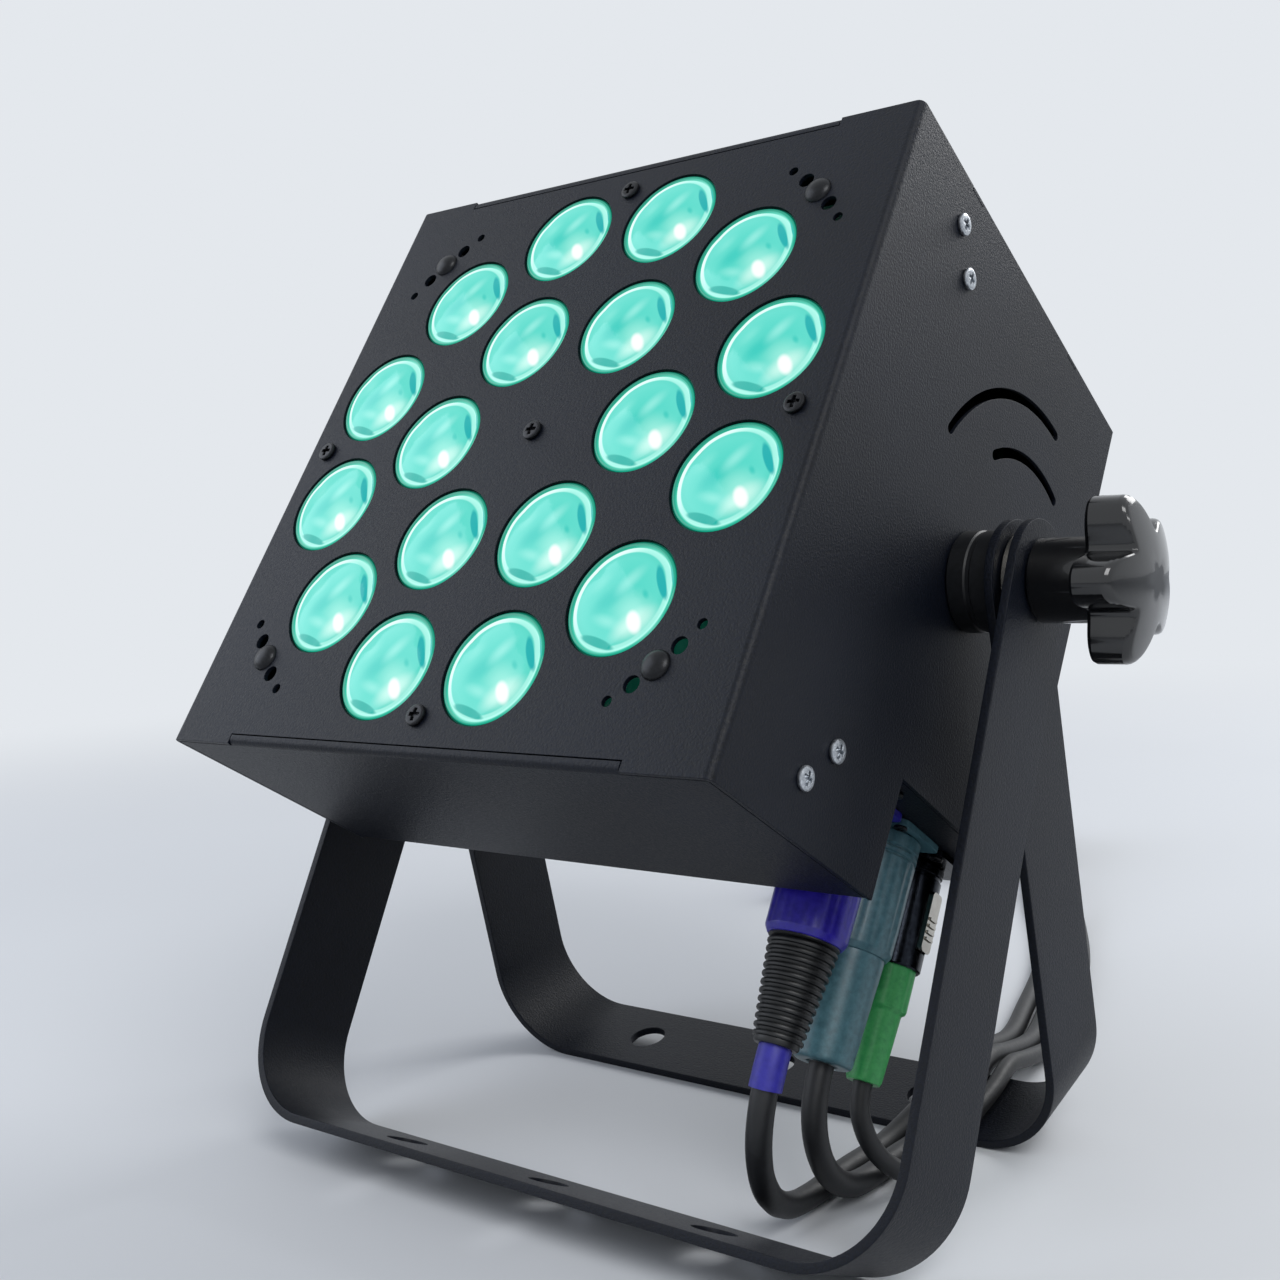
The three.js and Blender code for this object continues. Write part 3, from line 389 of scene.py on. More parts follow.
# A screw head's shares: of its radius for the cross and the floor under it, of its height for the rest.
CROSS_REACH = 0.56
CROSS_HALF = 0.15
CROSS_FLOOR = 0.7
RECESS = 0.3
RIM_EASE = 0.3
DOME = 0.25
DOME_DROP = 0.15

# Each fastener's head: its radius and its height.
SIDE_SCREW = (3.5, 1.7)
BOARD_SCREW = (3.4, 1.5)
PANEL_SCREW = (3.2, 1.5)
CORNER_RIVET = (4.5, 2.3)

OUT_RIGHT = Matrix.Rotation(math.pi / 2, 4, "Y")
OUT_LEFT = Matrix.Rotation(-math.pi / 2, 4, "Y")
OUT_FRONT = Matrix.Rotation(math.pi / 2, 4, "X")
HANG = Matrix.Rotation(math.pi, 4, "X")

# Zinc-plated steel: bright, slightly milky, with a fine mottle from the passivation.
zinc_plate = grained("zinc_plated_steel", "#8E939A", "#D3D7DB", grain=0.8, depth=0.02,
                     sheen=(0.24, 0.42), metallic=1.0)

# Blacked steel: a thin dark oxide over turned metal, so it keeps a dull metal sheen.
black_oxide = grained("black_oxide_steel", "#050608", "#16181D", grain=0.8, depth=0.02,
                      sheen=(0.25, 0.42), metallic=0.5)


def spun(profile, segments, ring=False):
    """A turned body from its profile of [radius, height], round the Z axis. A ring's profile is closed."""
    bm = bmesh.new()
    points = [bm.verts.new((radius, 0, height)) for radius, height in profile]
    edges = [bm.edges.new(pair) for pair in zip(points, points[1:] + (points[:1] if ring else []))]
    bmesh.ops.spin(bm, geom=points + edges, cent=(0, 0, 0), axis=(0, 0, 1), dvec=(0, 0, 0),
                   angle=2 * math.pi, steps=segments, use_merge=True)
    bmesh.ops.remove_doubles(bm, verts=bm.verts, dist=MERGE)
    bmesh.ops.recalc_face_normals(bm, faces=bm.faces)
    return bm


def join(bm, other, place=Matrix()):
    """Puts another mesh into this one, at its place."""
    bmesh.ops.transform(other, matrix=place, verts=other.verts)
    passing = bpy.data.meshes.new("passing")
    other.to_mesh(passing)
    other.free()
    bm.from_mesh(passing)
    bpy.data.meshes.remove(passing)


def screw(radius, rise):
    """A domed pan head with a cross recess, its seat at z = 0."""
    arm, half = radius * CROSS_REACH, radius * CROSS_HALF
    corner = [(arm, -half), (arm, half), (half, half), (half, arm)]
    cross = []
    for turn in range(4):
        c, s = round(math.cos(turn * math.pi / 2)), round(math.sin(turn * math.pi / 2))
        cross += [(c * x - s * y, s * x + c * y) for x, y in corner]
    cross = [p for k, p in enumerate(cross) if p != cross[k - 1]]
    bm = plate(circle(0, 0, radius, 28), [cross], rise, rise * RIM_EASE)
    bmesh.ops.translate(bm, verts=bm.verts, vec=(0, 0, rise))
    for v in bm.verts:
        if v.co.z > rise / 2:
            away = Vector(v.co[:2]).length / radius
            v.co.z += rise * DOME * (1 - away * away) - rise * DOME_DROP
    floor = bmesh.new()
    bmesh.ops.create_circle(floor, cap_ends=True, segments=20, radius=radius * CROSS_FLOOR)
    join(bm, floor, at((0, 0, rise * RECESS)))
    return bm


def rivet(radius, rise):
    """A domed head, its seat at z = 0."""
    dome = [(radius * math.cos(a), rise * math.sin(a)) for a in [math.pi / 2 * k / 7 for k in range(8)]]
    return spun([(0, 0), *dome[:-1], (0, rise)], 28)


def fastened(name, make, sizes, places, material):
    """The same fastener at several places, as one piece."""
    bm = bmesh.new()
    for place in places:
        join(bm, make(*sizes), place)
    piece(name, bm, HEAD, [material], "head", smooth=32)


for side, sign, out in (("right", 1, OUT_RIGHT), ("left", -1, OUT_LEFT)):
    places = [at((sign * HALF_WIDTH, y, z)) @ out for y, z in SIDE_SCREWS]
    fastened(f"side_screws_{side}", screw, SIDE_SCREW, places, zinc_plate)
board_screws = [(x, 0, z) for x, z in circle(0, 0, BOARD_SCREW_RING, 4)] + [(0, 0, 0)]
corner_rivets = [(x, 0, z) for x, z in [on_circle(CORNER_RING, corner) for corner in CORNERS]]
rear_screws = [(side * REAR_SCREWS_X, HEAD_DEPTH, z) for side in (-1, 1) for z in REAR_SCREWS_Z]
rear_screws += [(x, HEAD_DEPTH, FAN_Z + z) for x, z in FAN_CORNERS]
ledge_screws = [(side * LEDGE_SCREWS_X, y, LEDGE_UNDER) for side in (-1, 1) for y in LEDGE_SCREWS_Y]
for name, make, sizes, places, facing in (
        ("front_board_screws", screw, BOARD_SCREW, board_screws, OUT_FRONT),
        ("front_corner_rivets", rivet, CORNER_RIVET, corner_rivets, OUT_FRONT),
        ("rear_panel_screws", screw, PANEL_SCREW, rear_screws, FROM_BEHIND),
        ("ledge_screws", screw, PANEL_SCREW, ledge_screws, HANG)):
    fastened(name, make, sizes, [at(p) @ facing for p in places], black_oxide)

# Yokes.
# Two flat steel straps, 38 by 3 mm, each with three mounting holes and round ends, folded up at both ends
# on a wide radius and powder coated like the head. The narrower one stands inside the wider one.
STRAP_WIDTH = 38
STRAP = 3
STRAP_BEND = 32
YOKE_SPREAD = math.radians(37.6)
INNER_REACH = 125.7
INNER_LENGTH = 193
OUTER_REACH = 132.9
OUTER_LENGTH = 205
ARM_BORE = BOLT + 0.4
STRAP_EDGE = 0.45
STRAP_HOLES = ((-65, 7), (0, 6.5), (65, 7))
half_strap = STRAP_WIDTH / 2
rear_lean = math.atan2(
    INNER_LENGTH - OUTER_LENGTH * math.cos(YOKE_SPREAD) - half_strap * math.sin(YOKE_SPREAD),
    OUTER_LENGTH * math.sin(YOKE_SPREAD) - half_strap - half_strap * math.cos(YOKE_SPREAD),
)


def yoke(node, body, reach, length, lean):
    """A strap cut flat and folded, turned about the pivot."""
    half = reach - STRAP_BEND
    end = half + STRAP_BEND * math.pi / 2 + length - STRAP_BEND
    outline = arc(end, 0, half_strap, -90, 90, 24) + arc(-end, 0, half_strap, 90, 270, 24)
    holes = [circle(x, 0, ARM_BORE) for x in (-end, end)]
    holes += [circle(x, 0, radius) for x, radius in STRAP_HOLES]
    bm = plate(outline, holes, STRAP, STRAP_EDGE)
    fold(bm, half, STRAP_BEND, 20)
    stand_up = at((0, 0, -length)) @ Matrix.Rotation(math.pi / 2, 4, "X")
    leaning = PIVOT @ Matrix.Rotation(lean, 4, "X") @ TO_METRES
    piece(f"{node}_strap", bm, leaning @ stand_up, [powder_coat], body, [node])


yoke("rear_yoke", "stand", INNER_REACH, INNER_LENGTH, rear_lean)
yoke("front_yoke", "front_yoke", OUTER_REACH, OUTER_LENGTH, rear_lean - YOKE_SPREAD)

# Pivots.
# On each side a nylon spacer keeps the inner arm off the head, a nickel-plated washer parts the two arms, and
# a glossy hand knob, a five-lobed star on a long neck moulded on its M10 bolt, clamps them all to the head.
INNER_ARM = INNER_REACH - STRAP
OUTER_ARM = OUTER_REACH - STRAP
SPACER = 16
WASHER = 15
KNOB_START = 133.3
KNOB_NECK = 13
KNOB_RADIUS = 25.5
KNOB_GROOVE = 10.5
KNOB_SHARPNESS = 1.25
KNOB_LOBES = 5
KNOB_LENGTH = 36.2
KNOB_CROWN = 5.6
STAR_FOOT = 18.7
STAR_ANGLE = math.radians(180 + HEAD_TILT)
TUBE_GROOVE = 0.5

# The star's rings from its foot to its middle: the share of its reach, and how far each lies under the crown.
# The first three lie at heights of their own.
FOOT_RINGS = ((0.95, STAR_FOOT), (0.985, STAR_FOOT + 0.35), (1, STAR_FOOT + 1.2))
CROWN_RINGS = ((1, 2.2), (0.99, 1.3), (0.968, 0.6), (0.935, 0.2), (0.89, 0.03), (0.8, 0), (0.65, 0), (0.5, 0),
               (0.35, 0), (0.2, 0))

# Moulded nylon: black, half matt, with a faint grain from the tool.
moulded_nylon = grained("moulded_black_nylon", "#050608", "#101216", grain=1.2, depth=0.03,
                        sheen=(0.36, 0.5), specular=0.35)

# Nickel-plated steel: warm grey metal, bright, with a broad faint mottle.
nickel_plate = grained("nickel_plated_steel", "#B2AEA6", "#CAC6BD", grain=4.0, depth=0.02,
                       sheen=(0.17, 0.27), metallic=1.0)

# Knob gloss: glass-filled nylon from a polished tool, so near mirror bright that its edges flash.
knob_gloss = grained("polished_black_nylon", "#020203", "#07080A", grain=5, depth=0.03,
                     sheen=(0.1, 0.2), coat=0.5)


def tube(radius, bore, length, groove):
    """A turned ring with eased rims, and a shallow groove at half length if it has one."""
    ease = min(0.6, length / 5)
    profile = [(bore, 0), (radius - ease, 0), (radius, ease)]
    if groove:
        mid, neck = length / 2, radius - TUBE_GROOVE
        profile += [(radius, mid - 1.1), (neck, mid - 0.6), (neck, mid + 0.6), (radius, mid + 1.1)]
    return spun(profile + [(radius, length - ease), (radius - ease, length), (bore, length)], 72, ring=True)


def star_edge(angle):
    """How far the star reaches at an angle about its axis."""
    groove = 0.5 - 0.5 * math.cos(KNOB_LOBES * (angle - STAR_ANGLE))
    return KNOB_RADIUS - KNOB_GROOVE * groove ** KNOB_SHARPNESS


def crown(radius):
    """How high the knob's end stands at a distance from its axis."""
    return KNOB_LENGTH - KNOB_CROWN * (radius / KNOB_RADIUS) ** 2


def knob():
    """The knob and its bolt, from its seat on the arm outwards."""
    bm = bmesh.new()
    bmesh.ops.create_circle(bm, cap_ends=True, segments=180, radius=1)
    for v in bm.verts:
        angle = math.atan2(-v.co.x, v.co.y)
        v.co = Vector((-math.sin(angle), math.cos(angle), 0)) * star_edge(angle)
    face = bm.faces[:]
    for number, (share, level) in enumerate(FOOT_RINGS + CROWN_RINGS):
        if number:
            grown = bmesh.ops.extrude_face_region(bm, geom=face)["geom"]
            face = [g for g in grown if isinstance(g, bmesh.types.BMFace)]
        for v in face[0].verts:
            reach = star_edge(math.atan2(-v.co.x, v.co.y)) * share
            v.co = Vector((v.co.x, v.co.y, 0)).normalized() * reach
            v.co.z = level if number < len(FOOT_RINGS) else crown(reach) - level
    stem = [(0, -KNOB_LENGTH - 2.3), (4.3, -KNOB_LENGTH - 2.3), (BOLT, -KNOB_LENGTH - 1.6), (BOLT, 0)]
    neck = [(KNOB_NECK - 0.6, 0), (KNOB_NECK, 0.6), (KNOB_NECK, STAR_FOOT - 1.2),
            (KNOB_NECK + 0.5, STAR_FOOT - 0.3), (KNOB_NECK + 1.4, STAR_FOOT + 0.2), (0, STAR_FOOT + 0.2)]
    join(bm, spun(stem + neck, 64))
    return bm


for side, turned in (("right", TURNED), ("left", TURNED @ Matrix.Rotation(math.pi, 4, "Z"))):
    spacer_start, washer_start = HALF_WIDTH + GAP, INNER_REACH + GAP
    for name, node, bm, start, material, body, slot, smooth in (
            ("spacer", "pivot_spacer", tube(SPACER, PIVOT_BORE, INNER_ARM - GAP - spacer_start, True),
             spacer_start, moulded_nylon, "head", "black_plastic", 40),
            ("washer", "arm_washer", tube(WASHER, PIVOT_BORE, OUTER_ARM - GAP - washer_start, False),
             washer_start, nickel_plate, "head", "nickel_plate", 40),
            ("hand_knob", "star_knob", knob(), KNOB_START, knob_gloss, f"knob_{side}", "gloss_knob", 35)):
        piece(f"{name}_{side}", bm, turned @ at((start, 0, 0)) @ OUT_RIGHT, [material], body,
              [f"{node}_{side}"], smooth)

# Lenses.
# Each of the 18 is a moulded clear acrylic collimator over a four-colour LED, here lit sea green: a pale
# flange ring with a painted highlight on one side, a groove, a shallow dome over three holder feet, and a
# painted hot spot off its middle, the chip's image.
LENS_RADIUS = 17.7
FACE_PROFILE = [(0, -1.4), (3, -1.36), (6, -1.22), (9, -0.98), (12, -0.6), (14.2, -0.2), (15.5, 0.15),
                (15.8, 0.55), (16.1, 0.6), (16.4, 0.3), (17.1, 0.3), (17.45, 0.45), (17.6, 0.75)]
FLANK_PROFILE = [(LENS_RADIUS, 1.0), (18.05, 1.1), (18.05, 1.6), (LENS_RADIUS, 1.7), (LENS_RADIUS, 3.4),
                 (12, 11), (6, 20), (0, 20)]
FLANK_START = 0.8
FEET = (-92, 38, 146)
FEET_RADIUS = 14.0
FOOT_SPREAD = 5
FOOT_PRESS = 0.35

# The glow from the middle to the rim, which is at 1, and a ring moved a little aside on it.
GLOW = ((0.0, "#46D0C0"), (0.35, "#50D6C6"), (0.7, "#5CDACA"), (0.805, "#57D6C5"), (0.83, "#A2F1E3"),
        (0.9, "#AEF8EA"), (0.925, "#35C7AA"), (0.95, "#1AA98B"), (1.0, "#0E856C"))
RING_ASIDE = (-0.034, 0.03, 0)
RING_LIT_FROM = (-0.88, 0.48, 0)

# Soft ovals painted over the glow, as paler patches and darker slivers of its light, and last the white hot
# spot of the chip's image, a painted highlight: colour, centre, turn in degrees, half sizes, and where the
# full colour starts.
OVALS = (
    ("#97EBDB", (0.46, -0.34), -35, (0.66, 0.46), 0.0),
    ("#2FCABC", (-0.16, -0.1), 40, (0.42, 0.25), 0.1),
    ("#8AE7DA", (0.16, 0.26), 55, (0.42, 0.2), 0.0),
    ("#86E6D8", (-0.02, -0.46), -14, (0.44, 0.15), 0.0),
    ("#6FDFD0", (-0.42, 0.22), 50, (0.34, 0.2), 0.0),
    ("#06B0A2", (-0.15, -0.78), -15, (0.41, 0.085), 0.68),
    ("#0CAEAE", (0.72, 0.25), 120, (0.39, 0.08), 0.68),
    ("#15B8AC", (0.86, 0.37), 118, (0.26, 0.03), 0.4),
    ("#3CCBBD", (0.53, 0.02), 130, (0.14, 0.07), 0.1),
    ("#1DB39F", (-0.66, 0.46), 55, (0.17, 0.055), 0.55),
    ("#C9F8EC", (0.46, -0.47), 38, (0.56, 0.26), 0.05),
    ("#FDFFFE", (0.47, -0.45), -58, (0.25, 0.15), 0.5),
)

# Lit acrylic: clear PMMA with a polished face that glows from the LED behind it.
lit_acrylic, tree, surface, place = finish_named("lit_clear_acrylic", 0.1, ior=1.49, specular=0.3)
surface.inputs["Base Color"].default_value = linear("#04201C")
surface.inputs["Emission Strength"].default_value = 1.0
spot = put(tree, "UVMap", uv_map="lens")
centred = put(tree, "Mapping", {"Location": (-1, -1, 0), "Scale": (2, 2, 1)}, {"Vector": spot.outputs[0]})
centred = centred.outputs[0]
aside = put(tree, "VectorMath", {1: RING_ASIDE}, {0: centred}, operation="ADD")
reach = put(tree, "VectorMath", links={0: aside.outputs[0]}, operation="LENGTH").outputs["Value"]
light = put(tree, "ValToRGB", links={"Fac": reach}, stops=GLOW).outputs["Color"]
# Painted light: each oval paints a patch of the glow paler or darker, and the last paints the hot spot.
for code, centre, turn, size, full in OVALS:
    near = put(tree, "VectorMath", {1: (-centre[0], -centre[1], 0)}, {0: centred}, operation="ADD")
    turned = put(tree, "Mapping", {"Rotation": (0, 0, -math.radians(turn))}, {"Vector": near.outputs[0]})
    scaled = put(tree, "VectorMath", {1: (1 / size[0], 1 / size[1], 0)}, {0: turned.outputs[0]},
                 operation="MULTIPLY")
    away = put(tree, "VectorMath", links={0: scaled.outputs[0]}, operation="LENGTH")
    mask = put(tree, "MapRange", {"From Min": 1.0, "From Max": full}, {"Value": away.outputs["Value"]},
               interpolation_type="SMOOTHSTEP")
    light = put(tree, "Mix", {7: linear(code)}, {0: mask.outputs["Result"], 6: light},
                data_type="RGBA").outputs[2]
# Painted highlight: the ring's arc on the side towards RING_LIT_FROM is painted nearly white.
facing = put(tree, "VectorMath", {1: RING_LIT_FROM}, {0: centred}, operation="DOT_PRODUCT").outputs["Value"]
masks = [put(tree, "MapRange", {"From Min": start, "From Max": end}, {"Value": value},
             interpolation_type="SMOOTHSTEP").outputs["Result"]
         for value, start, end in ((reach, 0.81, 0.84), (reach, 0.93, 0.9), (facing, 0.1, 0.7))]
on_ring = put(tree, "Math", links={0: masks[0], 1: masks[1]}, operation="MULTIPLY")
lit_arc = put(tree, "Math", links={0: on_ring.outputs[0], 1: masks[2]}, operation="MULTIPLY").outputs[0]
light = put(tree, "Mix", {7: linear("#E6FFF9")}, {0: lit_arc, 6: light}, data_type="RGBA").outputs[2]
tree.links.new(light, surface.inputs["Emission Color"])
swirl = put(tree, "TexNoise", {"Scale": 2.2, "Detail": 3}, {"Vector": centred})
ripple = put(tree, "Bump", {"Strength": 0.25, "Distance": 0.3 * MM}, {"Height": swirl.outputs["Fac"]})
tree.links.new(ripple.outputs["Normal"], surface.inputs["Normal"])

# Lens flank: the same acrylic below the rim, where the light runs out darker.
lit_flank, tree, surface, place = finish_named("lit_acrylic_flank", 0.3, ior=1.49)
surface.inputs["Base Color"].default_value = linear("#07342B")
surface.inputs["Emission Strength"].default_value = 1.0
haze = put(tree, "TexNoise", {"Scale": 1 / (9 * MM), "Detail": 2}, {"Vector": place})
run = put(tree, "ValToRGB", links={"Fac": haze.outputs["Fac"]}, stops=((0, "#06382E"), (1, "#0B5A49")))
tree.links.new(run.outputs["Color"], surface.inputs["Emission Color"])


def lens(number, x, z):
    """One lens, its face towards -Y."""
    bm = spun(FACE_PROFILE + FLANK_PROFILE, 64)
    layer = bm.loops.layers.uv.new("lens")
    for v in bm.verts:
        if v.co.z < 0.2 and Vector(v.co[:2]).length > 9:
            for foot in FEET:
                foot_x, foot_y = on_circle(FEET_RADIUS, foot)
                away = math.hypot(v.co.x - foot_x, v.co.y - foot_y)
                v.co.z += FOOT_PRESS * max(0.0, 1 - away / FOOT_SPREAD) ** 2
    for face in bm.faces:
        face.material_index = 1 if face.calc_center_median().z > FLANK_START else 0
        for loop in face.loops:
            loop[layer].uv = [0.5 + 0.5 * loop.vert.co[k] / LENS_RADIUS for k in (0, 1)]
    bmesh.ops.transform(bm, matrix=OUT_FRONT, verts=bm.verts)
    bmesh.ops.scale(bm, vec=(1, -1, 1), verts=bm.verts)
    node = f"lens_{number:02d}"
    piece(f"{node}_acrylic", bm, HEAD @ at((x, 0, z)), [lit_acrylic, lit_flank], "head", [node],
          smooth=60)


for number, (x, z) in enumerate(lens_places(), 1):
    lens(number, x, z)

# Boards and heatsink.
# Behind the lenses lie a white LED board, an extruded aluminium heatsink, the power supply and the control
# board. Their CAD solids show through the vents and keep their shapes.


def finish_node(node, material):
    """Gives a CAD node that stays in view its material."""
    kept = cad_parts[node]
    if not kept.material_slots:
        kept.data.materials.append(material)
    for taken in kept.material_slots:
        taken.material = material


# White solder mask: satin ink over an aluminium-backed board.
white_mask = grained("white_solder_mask", "#C9CEC9", "#E4E8E2", grain=3, depth=0.02, sheen=(0.35, 0.5))
finish_node("led_board", white_mask)

# Green solder mask: glossy ink over copper tracks, which show as a slight mottle.
green_mask = grained("green_solder_mask", "#0A3A22", "#15572F", grain=2.5, depth=0.06, sheen=(0.22, 0.42))
finish_node("driver_board", green_mask)
finish_node("control_board", green_mask)

# Extruded aluminium: mill finish, with die lines along its length.
mill_aluminium, tree, surface, place = finish_named("mill_finish_aluminium", 0.42, metallic=1.0)
lines = put(tree, "Mapping", {"Scale": (1 / (1.2 * MM), 1 / (1.2 * MM), 1 / (70 * MM))}, {"Vector": place})
drawn = put(tree, "TexNoise", {"Scale": 1, "Detail": 4}, {"Vector": lines.outputs[0]})
metal = put(tree, "ValToRGB", links={"Fac": drawn.outputs["Fac"]}, stops=((0, "#7F8287"), (1, "#B4B7BB")))
tree.links.new(metal.outputs["Color"], surface.inputs["Base Color"])
worn = put(tree, "Bump", {"Strength": 0.4, "Distance": 0.03 * MM}, {"Height": drawn.outputs["Fac"]})
tree.links.new(worn.outputs["Normal"], surface.inputs["Normal"])
finish_node("heatsink", mill_aluminium)

# Fan.
# A 92 mm fan moulded in black PBT: a square frame with four screw holes, cross arms to the motor's seat, and
# a rotor with seven blades set at a slant.
FAN_SIZE = 92
FAN_DEPTH = 25
FAN_BACK = HEAD_DEPTH - STEEL - GAP
FAN_BORE = 43
FAN_CORNER = 3.5
FAN_HOLE = 2.2
FAN_ARM_HALF = 2
FAN_ARM_DEEP = 3
HUB = 18
BLADES = 7
BLADE_HALF = 7.6
BLADE_THICK = 1.4
BLADE_PLACE = -12.4
BLADE_CUTS = (0, 3.8, -3.8)
BLADE_BOW = 1.4
BLADE_SLANT = math.radians(38)

# Moulded PBT: black, half matt, from a fine-textured tool.
moulded_pbt = grained("moulded_black_pbt", "#07080A", "#131519", grain=1.0, depth=0.04,
                      sheen=(0.42, 0.58), specular=0.4)

fan_half = FAN_SIZE / 2
holes = [circle(0, 0, FAN_BORE, 72)]
holes += [circle(x, y, FAN_HOLE, 16) for x, y in FAN_CORNERS]
bm = plate(rounded(-fan_half, fan_half, -fan_half, fan_half, FAN_CORNER, 5), holes, FAN_DEPTH, 0.5)
arm = FAN_BORE + 0.5
for half_x, half_y in ((arm, FAN_ARM_HALF), (FAN_ARM_HALF, arm)):
    bar = plate(rounded(-half_x, half_x, -half_y, half_y, 0.8), [], FAN_ARM_DEEP, 0.4)
    join(bm, bar, at((0, 0, FAN_ARM_DEEP - FAN_DEPTH)))
join(bm, spun([(0, 0), (HUB + 1, 0), (HUB + 1, 2.4), (HUB + 0.4, 3), (0, 3)], 48), at((0, 0, -FAN_DEPTH)))
in_fan = HEAD @ at((0, FAN_BACK, FAN_Z)) @ FROM_BEHIND
piece("fan_housing", bm, in_fan, [moulded_pbt], "head", ["fan_frame"])

rotor_back = FAN_DEPTH - 3.6
bm = spun([(0, -3.4), (HUB - 1.2, -3.4), (HUB, -4.6), (HUB, -rotor_back), (0, -rotor_back)], 64)
blade_long = (FAN_BORE - HUB) - 2.5
for k in range(BLADES):
    blade = plate(rounded(0, blade_long + 2, -BLADE_HALF, BLADE_HALF, 2.5), [], BLADE_THICK, 0.3)
    for y in BLADE_CUTS:
        cut(blade, (0, y, 0), (0, 1, 0))
    for v in blade.verts:
        v.co.z += BLADE_BOW * (1 - (v.co.y / BLADE_HALF) ** 2)
    slanted = Matrix.Rotation(2 * math.pi * k / BLADES, 4, "Z") @ at((HUB - 1, 0, BLADE_PLACE))
    join(bm, blade, slanted @ Matrix.Rotation(BLADE_SLANT, 4, "X"))
piece("fan_impeller", bm, in_fan, [moulded_pbt], "fan", ["fan_rotor"])

# Display and buttons.
# A smoked acrylic window stands over the display, and four black keys with dished caps stand beside it.
WINDOW_THICK = 2.2
CAP_OUT = 1.5
KEY_END = 163.5 - HEAD_DEPTH

# Smoked acrylic: nearly black and polished, with the display dark behind it.
smoked_acrylic = grained("smoked_acrylic", "#030405", "#070A0D", grain=9, depth=0.005,
                         sheen=(0.04, 0.09), ior=1.49)

# Moulded ABS: black and satin, a shade paler than the nylon.
moulded_abs = grained("moulded_black_abs", "#0B0C0F", "#191B20", grain=0.9, depth=0.03, sheen=(0.3, 0.46))

outline = rounded(-WINDOW[1] + GAP, -WINDOW[0] - GAP, WINDOW[2] + GAP, WINDOW[3] - GAP, 0.8)
bm = plate(outline, [], WINDOW_THICK, 0.25)
piece("smoked_window", bm, rear_face @ at((0, 0, -GAP)), [smoked_acrylic], "head",
      ["display_window"])
key = [(0, KEY_END), (BUTTON, KEY_END), (BUTTON, -4.5), (BUTTON + 1.6, -4.5), (BUTTON + 1.6, -1.8),
       (BUTTON, -1.8), (BUTTON, CAP_OUT - 0.5), (BUTTON - 0.15, CAP_OUT - 0.15), (BUTTON - 0.5, CAP_OUT),
       (2.4, CAP_OUT - 0.12), (1.2, CAP_OUT - 0.3), (0, CAP_OUT - 0.35)]
for number, x in enumerate(BUTTON_X, 1):
    piece(f"key_{number}", spun(key, 40), rear_face @ at((-x, CONTROL_Z, 0)), [moulded_abs],
          f"button_{number}", [f"menu_button_{number}"])

# Sockets and fuse.
# Five parts hang through the ledge: a blue mains inlet, a grey mains outlet, two metal DMX sockets and a fuse
# holder. Each socket is a moulded or cast flange with a barrel, held by two screws.
FLANGE = 2
FLANGE_HALF = (15.5, 13)
FLANGE_CORNER = 3
SOCKET_FACE = LEDGE_UNDER - GAP - FLANGE
SOCKET_DEEP = 24.8
BORE_DEEP = 15.8
POWER_BORE = 9.8
DMX_BORE = 8.2
CONTACTS = circle(0, 0, 4.2, 3)
FLANGE_SCREWS = (12.4, 10.2)
SOCKET_SCREW = (2.3, 1.1)
FLUTES = 24
FLUTE_DEEP = 0.4

# Moulded polycarbonate: dense colour, satin, with a little flow mottle. Power in is blue, power out grey,
# drawn darker and teal: a painted shade and a painted cast of teal light over a pale grey.
blue_moulding = grained("moulded_blue_polycarbonate", "#20178A", "#3225AE", grain=2.2, depth=0.03,
                        sheen=(0.28, 0.42))
# The grey is painted dark and teal, as painted shade and teal light.
grey_moulding_painted_teal_shade = grained("moulded_grey_polycarbonate_painted_teal_shade", "#3A5C66", "#517A84", grain=2.2, depth=0.03,
                        sheen=(0.3, 0.44))

# Cast zinc, black chromed: dark and clearly metallic, which gives the metal plugs their long streaks.
dark_chrome = grained("black_chromed_zinc", "#15171C", "#30343C", grain=1.5, depth=0.02,
                      sheen=(0.16, 0.3), metallic=1.0)

# Gold plate: thin, over brass contacts.
gold_plate = grained("gold_plated_brass", "#B98A35", "#E0B65C", grain=0.8, depth=0.01,
                     sheen=(0.18, 0.3), metallic=1.0)


def hung(x, y):
    """The place of something that hangs under the ledge: its Z points down from the sockets' faces."""
    return HEAD @ at((x, y, SOCKET_FACE)) @ HANG


def chassis_socket(name, x, y, bore, material):
    """A flange under the ledge, a barrel up through it, three contacts in its bore, and two screws."""
    flange = rounded(-FLANGE_HALF[0], FLANGE_HALF[0], -FLANGE_HALF[1], FLANGE_HALF[1], FLANGE_CORNER, 6)
    bm = plate(flange, [circle(0, 0, SOCKET_BARREL, 48)], FLANGE, 0.35)
    join(bm, spun([(0, -BORE_DEEP), (bore, -BORE_DEEP), (bore, -0.5), (bore + 0.4, 0), (SOCKET_BARREL, 0),
                   (SOCKET_BARREL, -SOCKET_DEEP), (0, -SOCKET_DEEP)], 48))
    piece(f"{name}_body", bm, hung(x, y), [material], "head", [name])
    bm = bmesh.new()
    for contact_x, contact_y in CONTACTS:
        sleeve = spun([(0, 0), (1.5, 0), (1.5, 5.4), (1.2, 5.8), (0.9, 5.8), (0.9, 2), (0, 2)], 20)
        join(bm, sleeve, at((contact_x, contact_y, -BORE_DEEP)))
    piece(f"{name}_contacts", bm, hung(x, y), [gold_plate], "head")
    bm = bmesh.new()
    for sign in (-1, 1):
        join(bm, screw(*SOCKET_SCREW), at((sign * FLANGE_SCREWS[0], sign * FLANGE_SCREWS[1], 0)))
    piece(f"{name}_screws", bm, hung(x, y), [black_oxide], "head")


